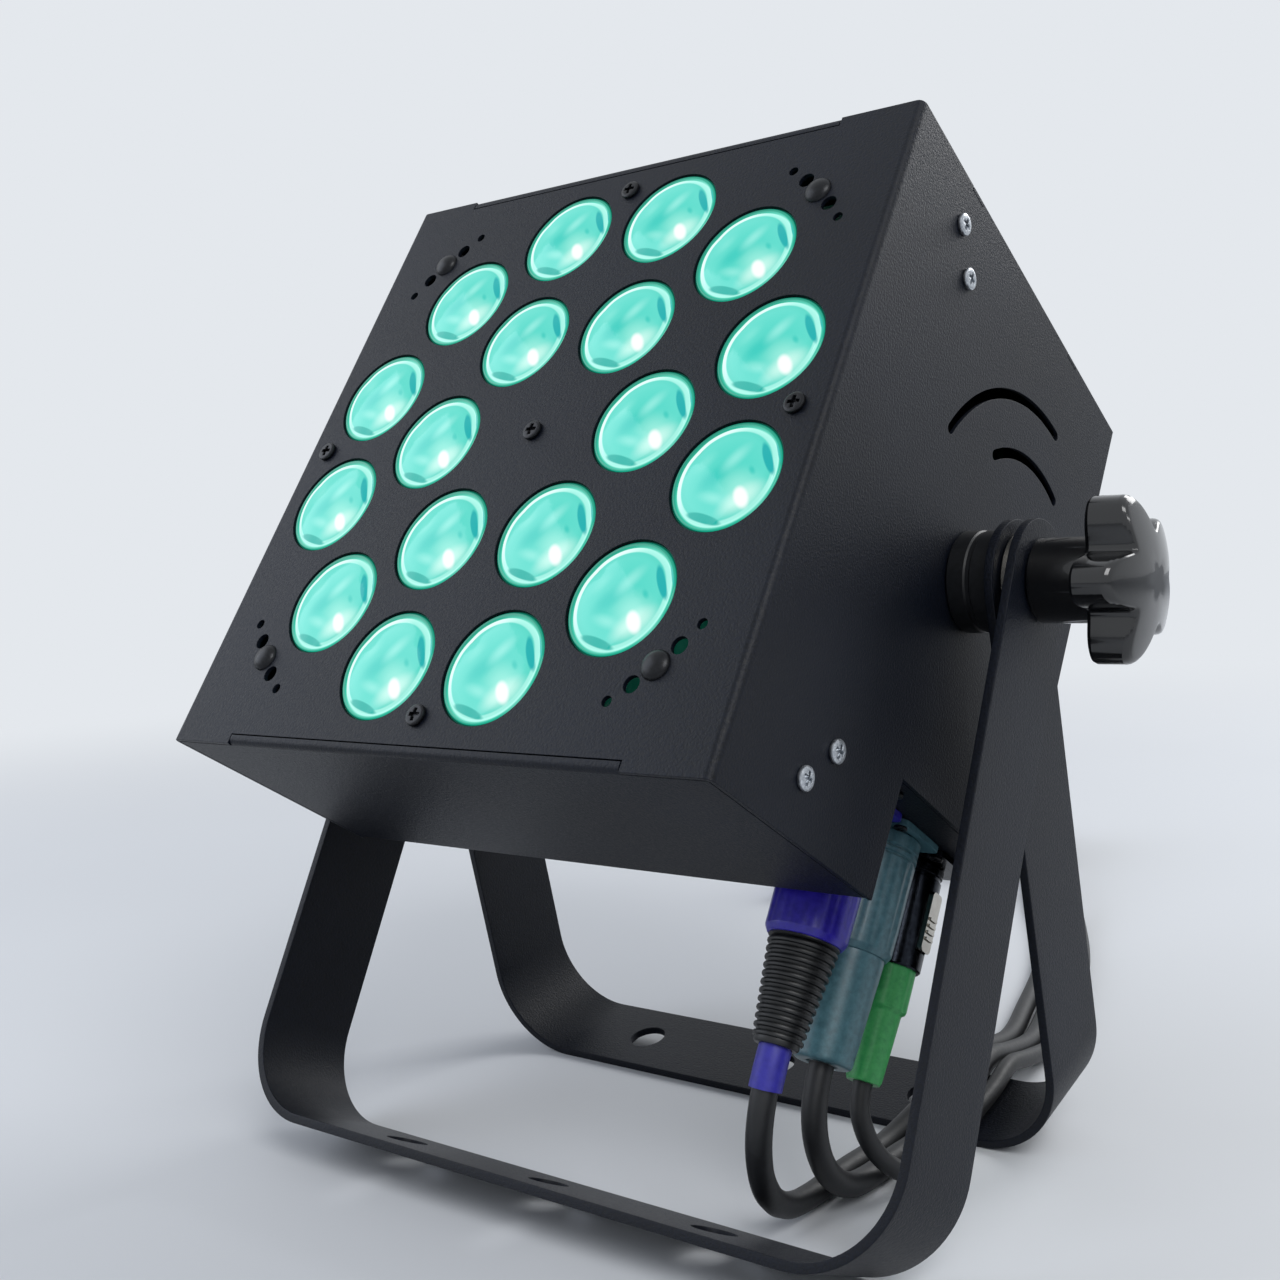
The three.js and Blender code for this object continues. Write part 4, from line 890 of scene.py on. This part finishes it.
chassis_socket("power_in_socket", SOCKET_ROW_X, POWER_IN_Y, POWER_BORE, blue_moulding)
chassis_socket("power_link_socket", SOCKET_ROW_X, POWER_LINK_Y, POWER_BORE, grey_moulding_painted_teal_shade)
chassis_socket("dmx_in_socket", SOCKET_ROW_X, DMX_IN_Y, DMX_BORE, dark_chrome)
chassis_socket("dmx_out_socket", SPARE_X, DMX_IN_Y, DMX_BORE, dark_chrome)

# The fuse holder's cap has a fluted grip and a slot for a screwdriver.
cap = spun([(0, 5.2), (6.2, 5.2), (6.5, 6), (7, 6), (7.2, 5.4), (7.5, 4.5), (7.5, 2), (7.5, 0), (8.5, -0.4),
            (8.5, -2), (FUSE_BARREL, -2), (FUSE_BARREL, -SOCKET_DEEP), (0, -SOCKET_DEEP)], 96)
for v in cap.verts:
    away = Vector(v.co[:2]).length
    if away > 6.9 and v.co.z > 0.5:
        flute = 0.5 + 0.5 * math.cos(FLUTES * math.atan2(v.co.y, v.co.x))
        v.co.xy *= 1 - FLUTE_DEEP * flute / away
join(cap, plate(circle(0, 0, 6.2, 48), [rounded(-4.4, 4.4, -0.8, 0.8, 0.5)], 0.8, 0.1), at((0, 0, 5.95)))
piece("fuse_cap", cap, hung(SPARE_X, POWER_IN_Y), [moulded_abs], "head", ["fuse_holder"])

# Plugs at the light.
# Two locking mains plugs with round bodies: the blue one has a black ribbed boot and a violet sleeve on its
# cord, the grey one a smooth cone. The DMX plug has a cast shell, a release key and a green rubber boot.
MAINS_CORD = 8
DMX_CORD = 6.4
POWER_BODY_END = -119.5
POWER_BOOT_END = -151
LINK_BODY_END = -114.5
LINK_BOOT_END = -149
DMX_BOOT_END = -148
DMX_SHELL = 9.6
DMX_SHELL_END = -110.5
RIBS = 12
RIB_PITCH = 2.45
LATCH_Y = 3.2
LATCH_Z = (-104, -84)
LATCH_X = (6.6, 11.4)
POCKET_FLOOR = LATCH_X[0] - 1.5

# Boot rubber: moulded soft PVC, nearly matt, with a fine grain and smoother spots from handling.
boot_rubber = grained("moulded_boot_rubber", "#050607", "#101215", grain=1.4, depth=0.04, sheen=(0.34, 0.52))

# Green boot: the same soft PVC, dyed, to mark the lead.
green_boot = grained("green_boot_rubber", "#2B8F4C", "#45AC5E", grain=2.0, depth=0.05, sheen=(0.36, 0.52))

# Violet sleeve: heat-shrunk polyolefin, semi-matt, with a faint mottle from shrinking.
shrunk_sleeve = grained("violet_shrink_sleeve", "#221F86", "#3330A2", grain=2.4, depth=0.08,
                        sheen=(0.4, 0.55))


def depth_of(z):
    """How far below the socket's face a height in the head lies, as the hanging plugs are drawn."""
    return SOCKET_FACE - z


def fluted(profile, segments, count, deep, beyond, span):
    """A turned body with grip flutes pressed in where it is wider than beyond, over a span of its length."""
    bm = spun(profile, segments)
    for v in bm.verts:
        away = Vector(v.co[:2]).length
        if away > beyond and span[0] < v.co.z < span[1]:
            flute = max(0.0, math.cos(count * math.atan2(v.co.y, v.co.x)))
            v.co.xy *= 1 - deep * flute / away
    return bm


def mains_body(material, name, y, end):
    """A round plug body down to its end: its nose in the socket, two grip grooves and a shoulder."""
    profile = [(0, -14), (8.9, -14), (9.4, -13.5), (9.4, GAP), (12.9, GAP), (13.3, GAP + 0.4)]
    for groove in (4.5, 7.0):
        profile += [(13.3, groove), (12.7, groove + 0.4), (12.7, groove + 0.9), (13.3, groove + 1.3)]
    profile += [(13.3, 12), (13.1, 30), (12.8, end - 2.4), (12.6, end - 1.8), (11.7, end - 0.3), (11.3, end),
                (0, end)]
    piece(f"{name}_body", fluted(profile, 96, 12, 0.45, 12.5, (11, 31)), hung(SOCKET_ROW_X, y), [material],
          "head", [name])


start, end = depth_of(POWER_BODY_END), depth_of(POWER_BOOT_END)
mains_body(blue_moulding, "power_in_plug", POWER_IN_Y, start)
profile = [(0, start - 1), (11, start - 1), (11.1, start + 0.4)]
for k in range(RIBS):
    top = start + 1.2 + k * RIB_PITCH
    reach = 10.9 - 3.1 * k / (RIBS - 1)
    profile += [(reach - 0.9, top), (reach - 0.2, top + 0.25), (reach, top + 0.6), (reach, top + 1.1),
                (reach - 0.2, top + 1.45), (reach - 0.9, top + 1.7)]
profile += [(6.9, end - 0.6), (6.4, end), (MAINS_CORD / 2, end), (0, end)]
piece("power_in_plug_boot", spun(profile, 48), hung(SOCKET_ROW_X, POWER_IN_Y), [boot_rubber], "head")

start, end = depth_of(LINK_BODY_END), depth_of(LINK_BOOT_END)
mains_body(grey_moulding_painted_teal_shade, "power_link_plug", POWER_LINK_Y, start)
profile = [(0, start - 1), (10.9, start - 1), (11.1, start + 0.5), (11, start + 2.5), (10.4, start + 14),
           (9.8, start + 26), (9.4, end - 1.4), (9.1, end - 0.5), (8.4, end), (5.2, end), (4.8, end - 0.6),
           (0, end - 0.6)]
piece("power_link_plug_boot", spun(profile, 64), hung(SOCKET_ROW_X, POWER_LINK_Y), [grey_moulding_painted_teal_shade], "head")

# The DMX plug's shell has a pocket in its side, in which the release key sits.
end = depth_of(DMX_SHELL_END)
profile = [(0, -12), (7.4, -12), (7.8, -11.6), (7.8, GAP), (9.2, GAP), (DMX_SHELL, GAP + 0.4),
           (DMX_SHELL, 3.2), (DMX_SHELL - 0.5, 3.6), (DMX_SHELL - 0.5, 4.6), (DMX_SHELL, 5),
           (DMX_SHELL, end - 0.5), (DMX_SHELL - 0.5, end), (0, end)]
bm = spun(profile, 72)
pocket_y = LATCH_Y + GAP
pocket_z = (depth_of(LATCH_Z[1]) - GAP, depth_of(LATCH_Z[0]) + GAP)
for place, normal in (((0, pocket_y, 0), (0, 1, 0)), ((0, -pocket_y, 0), (0, 1, 0)),
                      ((0, 0, pocket_z[0]), (0, 0, 1)), ((0, 0, pocket_z[1]), (0, 0, 1))):
    cut(bm, place, normal)
window = []
for f in bm.faces:
    seen = f.calc_center_median()
    if seen.x > DMX_SHELL - 2 and abs(seen.y) < pocket_y and pocket_z[0] < seen.z < pocket_z[1]:
        window.append(f)
bmesh.ops.delete(bm, geom=window, context="FACES")
mouth = [e for e in bm.edges if e.is_boundary]
for v in new_verts(bmesh.ops.extrude_edge_only(bm, edges=mouth)):
    v.co.x = POCKET_FLOOR
bmesh.ops.triangle_fill(bm, use_beauty=True, edges=[e for e in bm.edges if e.is_boundary])
hanging = hung(SOCKET_ROW_X, DMX_IN_Y)
piece("dmx_plug_shell", bm, hanging, [dark_chrome], "head", ["dmx_plug"], smooth=35)

start, end = end, depth_of(DMX_BOOT_END)
profile = [(0, start - 1.2), (8.1, start - 1.2), (8.3, start - 0.6), (8.3, start + 13), (8.0, start + 13.8),
           (7.1, start + 14.4), (6.9, start + 15), (6.5, start + 24), (5.9, end - 1.2), (5.4, end), (0, end)]
piece("dmx_plug_boot", fluted(profile, 72, 8, 0.5, 8, (start, start + 13.5)), hanging, [green_boot], "head")

key_long = (LATCH_Z[1] - LATCH_Z[0]) / 2
bm = plate(rounded(-LATCH_Y, LATCH_Y, -key_long, key_long, 1.4, 5), [], LATCH_X[1] - LATCH_X[0] - 0.6, 0.5)
for k in range(4):
    join(bm, plate(rounded(-2.4, 2.4, -0.45, 0.45, 0.3), [], 0.9, 0.15), at((0, 2.2 * k - 1, 0.6)))
key_place = at((LATCH_X[1] - 0.6, 0, (depth_of(LATCH_Z[0]) + depth_of(LATCH_Z[1])) / 2))
facing_out = Matrix(((0, 0, 1, 0), (1, 0, 0, 0), (0, 1, 0, 0), (0, 0, 0, 1)))
piece("dmx_release_key", bm, hanging @ key_place @ facing_out, [nickel_plate], "dmx_latch",
      ["dmx_plug_latch"])

# Far plugs.
# Each lead ends in its own plug beside the coils: a moulded earthed mains plug with two flat blades, a blue
# locking plug as at the light, and a DMX plug with a cast shell, a rubber boot and three pins.
FLOOR = at((0, pivot.y, 0)) @ TO_METRES
MAINS_PLUG = (-113, 484, 13.8)
LINK_END = (-150.6, 356, 13.6)
DMX_END = (-133, 410, 58.2)
BLADE_X = 6.35


def lying(place, heading):
    """A far plug's place on the floor: it is turned round Z, and its length then points to its heading."""
    turned = at(place) @ Matrix.Rotation(math.radians(heading), 4, "Z")
    return FLOOR @ turned @ Matrix.Rotation(-math.pi / 2, 4, "X")


profile = [(0, -9), (4.7, -9), (4.9, -8.6)]
for k in range(9):
    top = -7.6 + 2.6 * k
    reach = 5.6 + 0.32 * k
    profile += [(reach - 0.6, top), (reach, top + 0.4), (reach, top + 1.3), (reach - 0.6, top + 1.7)]
profile += [(9.2, 16.6), (12.4, 18.4), (13.5, 20.5), (13.5, 33.2), (13.1, 34.8), (12.2, 36), (0, 36)]
at_wall = lying(MAINS_PLUG, 90)
piece("mains_plug_body", fluted(profile, 96, 10, 0.6, 13.4, (21, 34)), at_wall, [boot_rubber], "stand",
      ["mains_plug"])
bm = spun([(0, 34), (2.4, 34), (2.4, 48.9), (1.7, 50.1), (0.8, 50.5), (0, 50.5)], 28)
bmesh.ops.translate(bm, verts=bm.verts, vec=(0, 7, 0))
for side in (-1, 1):
    blade = plate(rounded(-6.8, -0.5, 34, 50.5, 1.2), [], 1.6, 0.3)
    join(bm, blade, at((side * BLADE_X + 0.8, 0, 0)) @ facing_out)
piece("mains_plug_blades", bm, at_wall, [nickel_plate], "stand")

profile = [(0, 0), (6.0, 0), (6.4, 0.5), (7.6, 7), (9.0, 14), (10.4, 22), (11.2, 25.4), (0, 25.4)]
at_link = lying(LINK_END, 180)
piece("link_end_boot", spun(profile, 64), at_link, [boot_rubber], "stand")
profile = [(0, 25), (11.5, 25), (12.9, 26.6), (13.3, 27.4), (13.3, 31), (13.3, 48), (13.3, 53), (12.7, 53.4),
           (12.7, 54), (13.3, 54.4), (13.3, 61.5), (12.8, 62), (9.4, 62), (9.4, 75.6), (8.9, 76.6), (7.8, 77),
           (7.5, 76.6), (7.5, 68), (0, 68)]
piece("link_end_body", fluted(profile, 96, 12, 0.45, 12.9, (30, 49)), at_link, [blue_moulding], "stand",
      ["link_end_plug"])

profile = [(0, 0), (5.4, 0), (5.8, 1), (6.7, 10), (7.2, 18), (7.6, 19), (8.2, 19.6), (8.4, 36), (8.1, 37),
           (0, 37)]
at_dmx = lying(DMX_END, 180)
piece("dmx_end_boot", spun(profile, 64), at_dmx, [green_boot], "stand")
profile = [(0, 36), (9.1, 36.6), (9.6, 37.4), (9.6, 60), (9.1, 60.4), (9.1, 61.4), (9.6, 61.8), (9.6, 67.5),
           (9.2, 68), (8, 68.6), (8, 81.6), (7.8, 82), (7.2, 82), (7, 81.6), (7, 70), (0, 70)]
piece("dmx_end_shell", spun(profile, 72), at_dmx, [dark_chrome], "stand", ["dmx_end_plug"])
bm = bmesh.new()
for x, y in [on_circle(3.6, angle) for angle in (30, 150, 270)]:
    join(bm, spun([(0, 69), (1.2, 69), (1.2, 79.2), (0.7, 80), (0, 80)], 16), at((x, y, 0)))
piece("dmx_end_pins", bm, at_dmx, [gold_plate], "stand")

# Coil tie.
# One strap of woven nylon hook-and-loop goes round all three coils, under them and over the top.
PILE = (-100, 412)
TIE_ANGLE = math.radians(80)
TIE_WIDTH = 14
TIE_THICK = 0.42
TIE_HULL = ((33, 0.5), (55.5, 0.5), (55.5, 17), (50.5, 34), (39.9, 48.3), (26.5, 48.3), (26.5, 35))
TIE_CORNER = 3.6

# Hook-and-loop nylon: a fuzzy loop face, drawn with threads of half a millimetre so that they show.
loop_nylon = grained("woven_loop_nylon", "#0A0A0C", "#26272B", grain=0.5, depth=0.25, sheen=(0.8, 0.95))


def eased(corners, radius):
    """A closed outline with each corner rounded to a radius."""
    points = []
    for k, corner in enumerate(corners):
        here = Vector(corner)
        back = (Vector(corners[k - 1]) - here).normalized()
        ahead = (Vector(corners[(k + 1) % len(corners)]) - here).normalized()
        reach = radius / math.tan(back.angle(ahead) / 2)
        first, last = here + back * reach, here + ahead * reach
        for step in range(5):
            t = step / 4
            points.append(first * (1 - t) ** 2 + here * 2 * t * (1 - t) + last * t * t)
    return points


bm = bmesh.new()
loop = [bm.verts.new((p.x, -TIE_WIDTH / 2, p.y)) for p in eased(TIE_HULL, TIE_CORNER)]
edges = [bm.edges.new(pair) for pair in zip(loop, loop[1:] + loop[:1])]
grown = bmesh.ops.extrude_edge_only(bm, edges=edges)
bmesh.ops.translate(bm, verts=new_verts(grown), vec=(0, TIE_WIDTH, 0))
bmesh.ops.remove_doubles(bm, verts=bm.verts, dist=MERGE)
bmesh.ops.recalc_face_normals(bm, faces=bm.faces)
bmesh.ops.solidify(bm, geom=bm.faces[:], thickness=-TIE_THICK)
round_pile = FLOOR @ at((PILE[0], PILE[1], 0)) @ Matrix.Rotation(TIE_ANGLE, 4, "Z")
piece("coil_tie", bm, round_pile, [loop_nylon], "stand", smooth=50)

# Cords.
# Two mains cords of 8 mm and a DMX cord of 6.4 mm, all with black rubber jackets. They leave the plugs under
# the head, run back over the rear strap, and what isn't needed is coiled behind the light.
TURN_GAP = 0.6
SLEEVE = 10
SLEEVE_LENGTH = 13.5
MAINS_REST = MAINS_CORD / 2 + 0.5
DMX_REST = DMX_CORD / 2 + 0.5
LINK_BASE = MAINS_REST + 2 * (MAINS_CORD + TURN_GAP)
DMX_BASE = LINK_BASE + MAINS_CORD + TURN_GAP + (MAINS_CORD + DMX_CORD) / 2 + TURN_GAP
CORD_STEP = 2.2
TURN_STEPS = 24
BEND_STEPS = 6
tilt = math.radians(HEAD_TILT)

# Cord rubber: extruded neoprene, matt, with a faint grain and paler spots where dust lies in it.
cord_rubber = grained("extruded_cord_rubber", "#08090B", "#15171B", grain=1.4, depth=0.05, sheen=(0.42, 0.62))


def drop(y, end, straight, rest, landing_x):
    """From a plug's boot the cord leaves straight, then bends back to the floor on one arc."""
    x0, y0, z0 = FLOOR.inverted() @ (HEAD @ Vector((SOCKET_ROW_X, y, end)))
    points = [(x0, y0, z0)]
    y0 -= straight * math.sin(tilt)
    z0 -= straight * math.cos(tilt)
    radius = (z0 - rest) / (1 + math.sin(tilt))
    for k in range(BEND_STEPS + 1):
        share = k / BEND_STEPS
        angle = -tilt + (tilt + math.pi / 2) * share
        ease = share * share * (3 - 2 * share)
        points.append((x0 + (landing_x - x0) * ease,
                       y0 + radius * (math.cos(tilt) - math.cos(angle)),
                       z0 - radius * (math.sin(angle) + math.sin(tilt))))
    return points


def coil(radius, diameter, turns, base):
    """Turns that spiral in below, climb in the half turn where they reverse, and spiral out above."""
    pitch = diameter + TURN_GAP
    layer = (turns - 0.5) / 2
    outer = radius + pitch * layer / 2 + pitch / 8
    count = round(turns * TURN_STEPS)
    points = []
    for k in range(count + 1):
        turn = turns * k / count
        r = outer - pitch * min(turn, turns - turn)
        climb = min(max((turn - layer) / 0.5, 0), 1)
        angle = 2 * math.pi * turn
        points.append((PILE[0] + r * math.cos(angle), PILE[1] + r * math.sin(angle), base + pitch * climb))
    return points


def smooth_line(points, spacing):
    """A centripetal Catmull-Rom line through the points, with a point about every spacing."""
    p = [Vector(q) for q in points]
    p = [2 * p[0] - p[1], *p, 2 * p[-1] - p[-2]]
    line = []
    for a, b, c, d in zip(p, p[1:], p[2:], p[3:]):
        before, here, after = [(s - t).length ** 0.5 for s, t in ((a, b), (b, c), (c, d))]
        leave = ((b - a) / before - (c - a) / (before + here) + (c - b) / here) * here
        reach = ((c - b) / here - (d - b) / (here + after) + (d - c) / after) * here
        steps = max(1, round((c - b).length / spacing))
        for k in range(steps):
            t = k / steps
            line.append(b + leave * t + (3 * (c - b) - 2 * leave - reach) * t * t
                        + (2 * (b - c) + leave + reach) * t ** 3)
    return [*line, p[-2]]


def hose(line, diameter):
    """A round tube along a line of points."""
    curve = bpy.data.curves.new("drawn_line", "CURVE")
    curve.dimensions = "3D"
    spline = curve.splines.new("POLY")
    spline.points.add(len(line) - 1)
    for point, co in zip(spline.points, line):
        point.co = (*co, 1)
    curve.bevel_depth = diameter / 2
    curve.bevel_resolution = 4
    curve.use_fill_caps = True
    drawn = bpy.data.objects.new("drawn_line", curve)
    bpy.context.scene.collection.objects.link(drawn)
    bpy.context.view_layer.update()
    mesh = bpy.data.meshes.new_from_object(drawn.evaluated_get(bpy.context.evaluated_depsgraph_get()))
    bm = bmesh.new()
    bm.from_mesh(mesh)
    bpy.data.objects.remove(drawn)
    bpy.data.meshes.remove(mesh)
    return bm


def cord(name, route, wound, tail, diameter, node):
    """One cord along its way: the route on the floor, the coil and the tail. It bends up to its landing."""
    line = smooth_line([*route, *wound, *tail], CORD_STEP)
    made = piece(name, hose(line, diameter), FLOOR, [cord_rubber], None,
                 [f"{node}_cord", f"{node}_coil"])
    path = [FLOOR @ v for v in line]
    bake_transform(made)
    return made, path


power_route = drop(POWER_IN_Y, POWER_BOOT_END, 4, MAINS_REST, 69.5) + [
    (69.5, -25, MAINS_REST), (70.5, 0, MAINS_REST), (73, 20, 9.5), (73, 40, 13.6), (71, 58, 16.2),
    (68.5, 80, 11), (64, 110, 5), (53, 150, MAINS_REST), (36, 205, MAINS_REST), (10, 265, MAINS_REST),
    (-20, 320, MAINS_REST), (-42, 370, MAINS_REST)]
power_tail = [
    (-68.5, 458, 13.1), (-76, 465.5, 13.2), (-84.5, 473, 13.4), (-94, 479.8, 13.8), (-102.5, 483.4, 13.8),
    (-107, 484, 13.8), (-110, 484, 13.8), (-113, 484, 13.8)]
link_route = drop(POWER_LINK_Y, LINK_BOOT_END, 2, MAINS_REST, 78.5) + [
    (79, -8, MAINS_REST), (80.5, 5, 5.2), (82.5, 20, 9.5), (82.5, 40, 13.6), (80.5, 58, 16.2), (78, 80, 11),
    (73.5, 110, 5), (63, 150, MAINS_REST), (46.5, 205, MAINS_REST), (21, 265, MAINS_REST), (-9, 320, 6.5),
    (-32, 362, 16.5), (-44, 389, 22.2)]
link_tail = [
    (-149.4, 400, 28.2), (-150.4, 388, 23.6), (-150.6, 378, 18.6), (-150.6, 369, 15), (-150.6, 363, 13.8),
    (-150.6, 359.5, 13.6), (-150.6, 356, 13.6)]
dmx_route = drop(DMX_IN_Y, DMX_BOOT_END, 2, DMX_REST, 89) + [
    (90, 5, 4.8), (91, 20, 8.8), (91, 40, 12.8), (89, 58, 15.2), (86.5, 80, 10.5), (82, 110, 4.4),
    (72.5, 150, DMX_REST), (56, 205, DMX_REST), (31, 264, 4.6), (1, 318, 13), (-36, 360, 31),
    (-54, 386, 38.9)]
dmx_tail = [
    (-113, 446, 46.5), (-124, 438, 50), (-130.5, 428, 54.6), (-133, 419, 57.7), (-133, 414, 58.2),
    (-133, 410, 58.2)]

power_in_lead = cord("power_in_lead", power_route, coil(44.5, MAINS_CORD, 4.125, MAINS_REST), power_tail,
                     MAINS_CORD, "power_in")
power_link_lead = cord("power_link_lead", link_route, coil(43, MAINS_CORD, 2.5, LINK_BASE), link_tail,
                       MAINS_CORD, "power_link")
dmx_lead = cord("dmx_lead", dmx_route, coil(33, DMX_CORD, 2.25, DMX_BASE), dmx_tail,
                DMX_CORD, "dmx")

# The violet sleeve covers the first of the power cord, out of its boot.
sleeve_line = [FLOOR.inverted() @ p for p in power_in_lead[1]]
while (sleeve_line[-1] - sleeve_line[0]).length > SLEEVE_LENGTH:
    sleeve_line.pop()
piece("violet_sleeve", hose(sleeve_line, SLEEVE), FLOOR, [shrunk_sleeve], "head")

# Stage.
# A pale floor and an even pale room, lit by two broad soft lamps and one from behind.
FLOOR_RADIUS = 9
FLOOR_CLOUDS = 400
FLOOR_MIDDLE = (0, 0.12, 0)
HAZE_SPAN = (0.55, 1.7)
ROOM_LIGHT = 0.45
ROOM_MIDDLE = (0, 0, 0.15)
bm = bmesh.new()
bmesh.ops.create_circle(bm, cap_ends=True, segments=96, radius=FLOOR_RADIUS)
floor_mesh = bpy.data.meshes.new("floor")
bm.to_mesh(floor_mesh)
bm.free()
floor = bpy.data.objects.new("floor", floor_mesh)
bpy.context.scene.collection.objects.link(floor)
floor_paint, tree, surface, place = finish_named("pale_floor_paint", 0.75)
cloud = put(tree, "TexNoise", {"Scale": 1 / (FLOOR_CLOUDS * MM), "Detail": 2}, {"Vector": place})
shade = put(tree, "ValToRGB", links={"Fac": cloud.outputs["Fac"]}, stops=((0, "#D9DCE0"), (1, "#DEE1E5")))
tree.links.new(shade.outputs["Color"], surface.inputs["Base Color"])
away = put(tree, "VectorMath", {1: FLOOR_MIDDLE}, {0: place}, operation="DISTANCE").outputs["Value"]
far = put(tree, "MapRange", {"From Min": HAZE_SPAN[0], "From Max": HAZE_SPAN[1]}, {"Value": away},
          interpolation_type="SMOOTHSTEP")
ray = put(tree, "LightPath")
seen = put(tree, "Math", links={0: ray.outputs["Is Camera Ray"], 1: far.outputs["Result"]},
           operation="MULTIPLY")
haze = put(tree, "Emission", {"Color": linear("#E4E8ED"), "Strength": 1.0})
paint = put(tree, "MixShader", links={0: seen.outputs[0], 1: surface.outputs[0], 2: haze.outputs[0]})
tree.links.new(paint.outputs[0], tree.nodes["Material Output"].inputs["Surface"])
floor_mesh.materials.append(floor_paint)

world = bpy.data.worlds.new("pale_room")
bpy.context.scene.world = world
world.use_nodes = True
tree = world.node_tree
tree.nodes.clear()
ray = put(tree, "LightPath").outputs
seen = put(tree, "Math", links={0: ray["Is Camera Ray"], 1: ray["Is Glossy Ray"]}, operation="MAXIMUM")
seen = put(tree, "Math", links={0: seen.outputs[0], 1: ray["Is Transmission Ray"]}, operation="MAXIMUM")
lighting = put(tree, "Background", {"Color": linear("#E9EDF3"), "Strength": ROOM_LIGHT})
backdrop = put(tree, "Background", {"Color": linear("#E4E8ED"), "Strength": 1.0})
choice = put(tree, "MixShader", links={0: seen.outputs[0], 1: lighting.outputs[0], 2: backdrop.outputs[0]})
put(tree, "OutputWorld", links={"Surface": choice.outputs[0]})


def lamp(name, place, aim, width, power, tint):
    """A square soft lamp, turned to a point."""
    data = bpy.data.lights.new(name, "AREA")
    data.size = width
    data.energy = power
    data.color = linear(tint)[:3]
    made = bpy.data.objects.new(name, data)
    made.location = place
    made.rotation_euler = (Vector(aim) - Vector(place)).to_track_quat("-Z", "Y").to_euler()
    bpy.context.scene.collection.objects.link(made)


lamp("key_lamp", (1.5, -0.9, 1.7), ROOM_MIDDLE, 1.2, 26, "#FFFFFF")
lamp("fill_lamp", (-1.7, -1.0, 1.2), ROOM_MIDDLE, 1.6, 14, "#EAF1FF")
lamp("rear_lamp", (0.6, 1.9, 1.5), (0, 0.2, 0.15), 1.2, 22, "#FFFFFF")

# Camera: in front of the light and to its right, above its middle, looking a little down.
CAMERA_PLACE = Vector((313.0, -397.5, 208.0)) * MM
CAMERA_HEADING = 33.995
CAMERA_PITCH = -3.97
CAMERA_ROLL = -2.308
CAMERA_SENSOR = 36
CAMERA_LENS = 40.29
CAMERA_SHIFT = -0.12
camera_data = bpy.data.cameras.new("camera")
camera_data.sensor_width = CAMERA_SENSOR
camera_data.lens = CAMERA_LENS
camera_data.shift_x = CAMERA_SHIFT
camera = bpy.data.objects.new("camera", camera_data)
bpy.context.scene.collection.objects.link(camera)
camera.matrix_world = (at(CAMERA_PLACE) @ Matrix.Rotation(math.radians(CAMERA_HEADING), 4, "Z")
                       @ Matrix.Rotation(math.radians(90 + CAMERA_PITCH), 4, "X")
                       @ Matrix.Rotation(math.radians(CAMERA_ROLL), 4, "Z"))
bpy.context.scene.camera = camera
bpy.context.scene.view_settings.view_transform = "Standard"
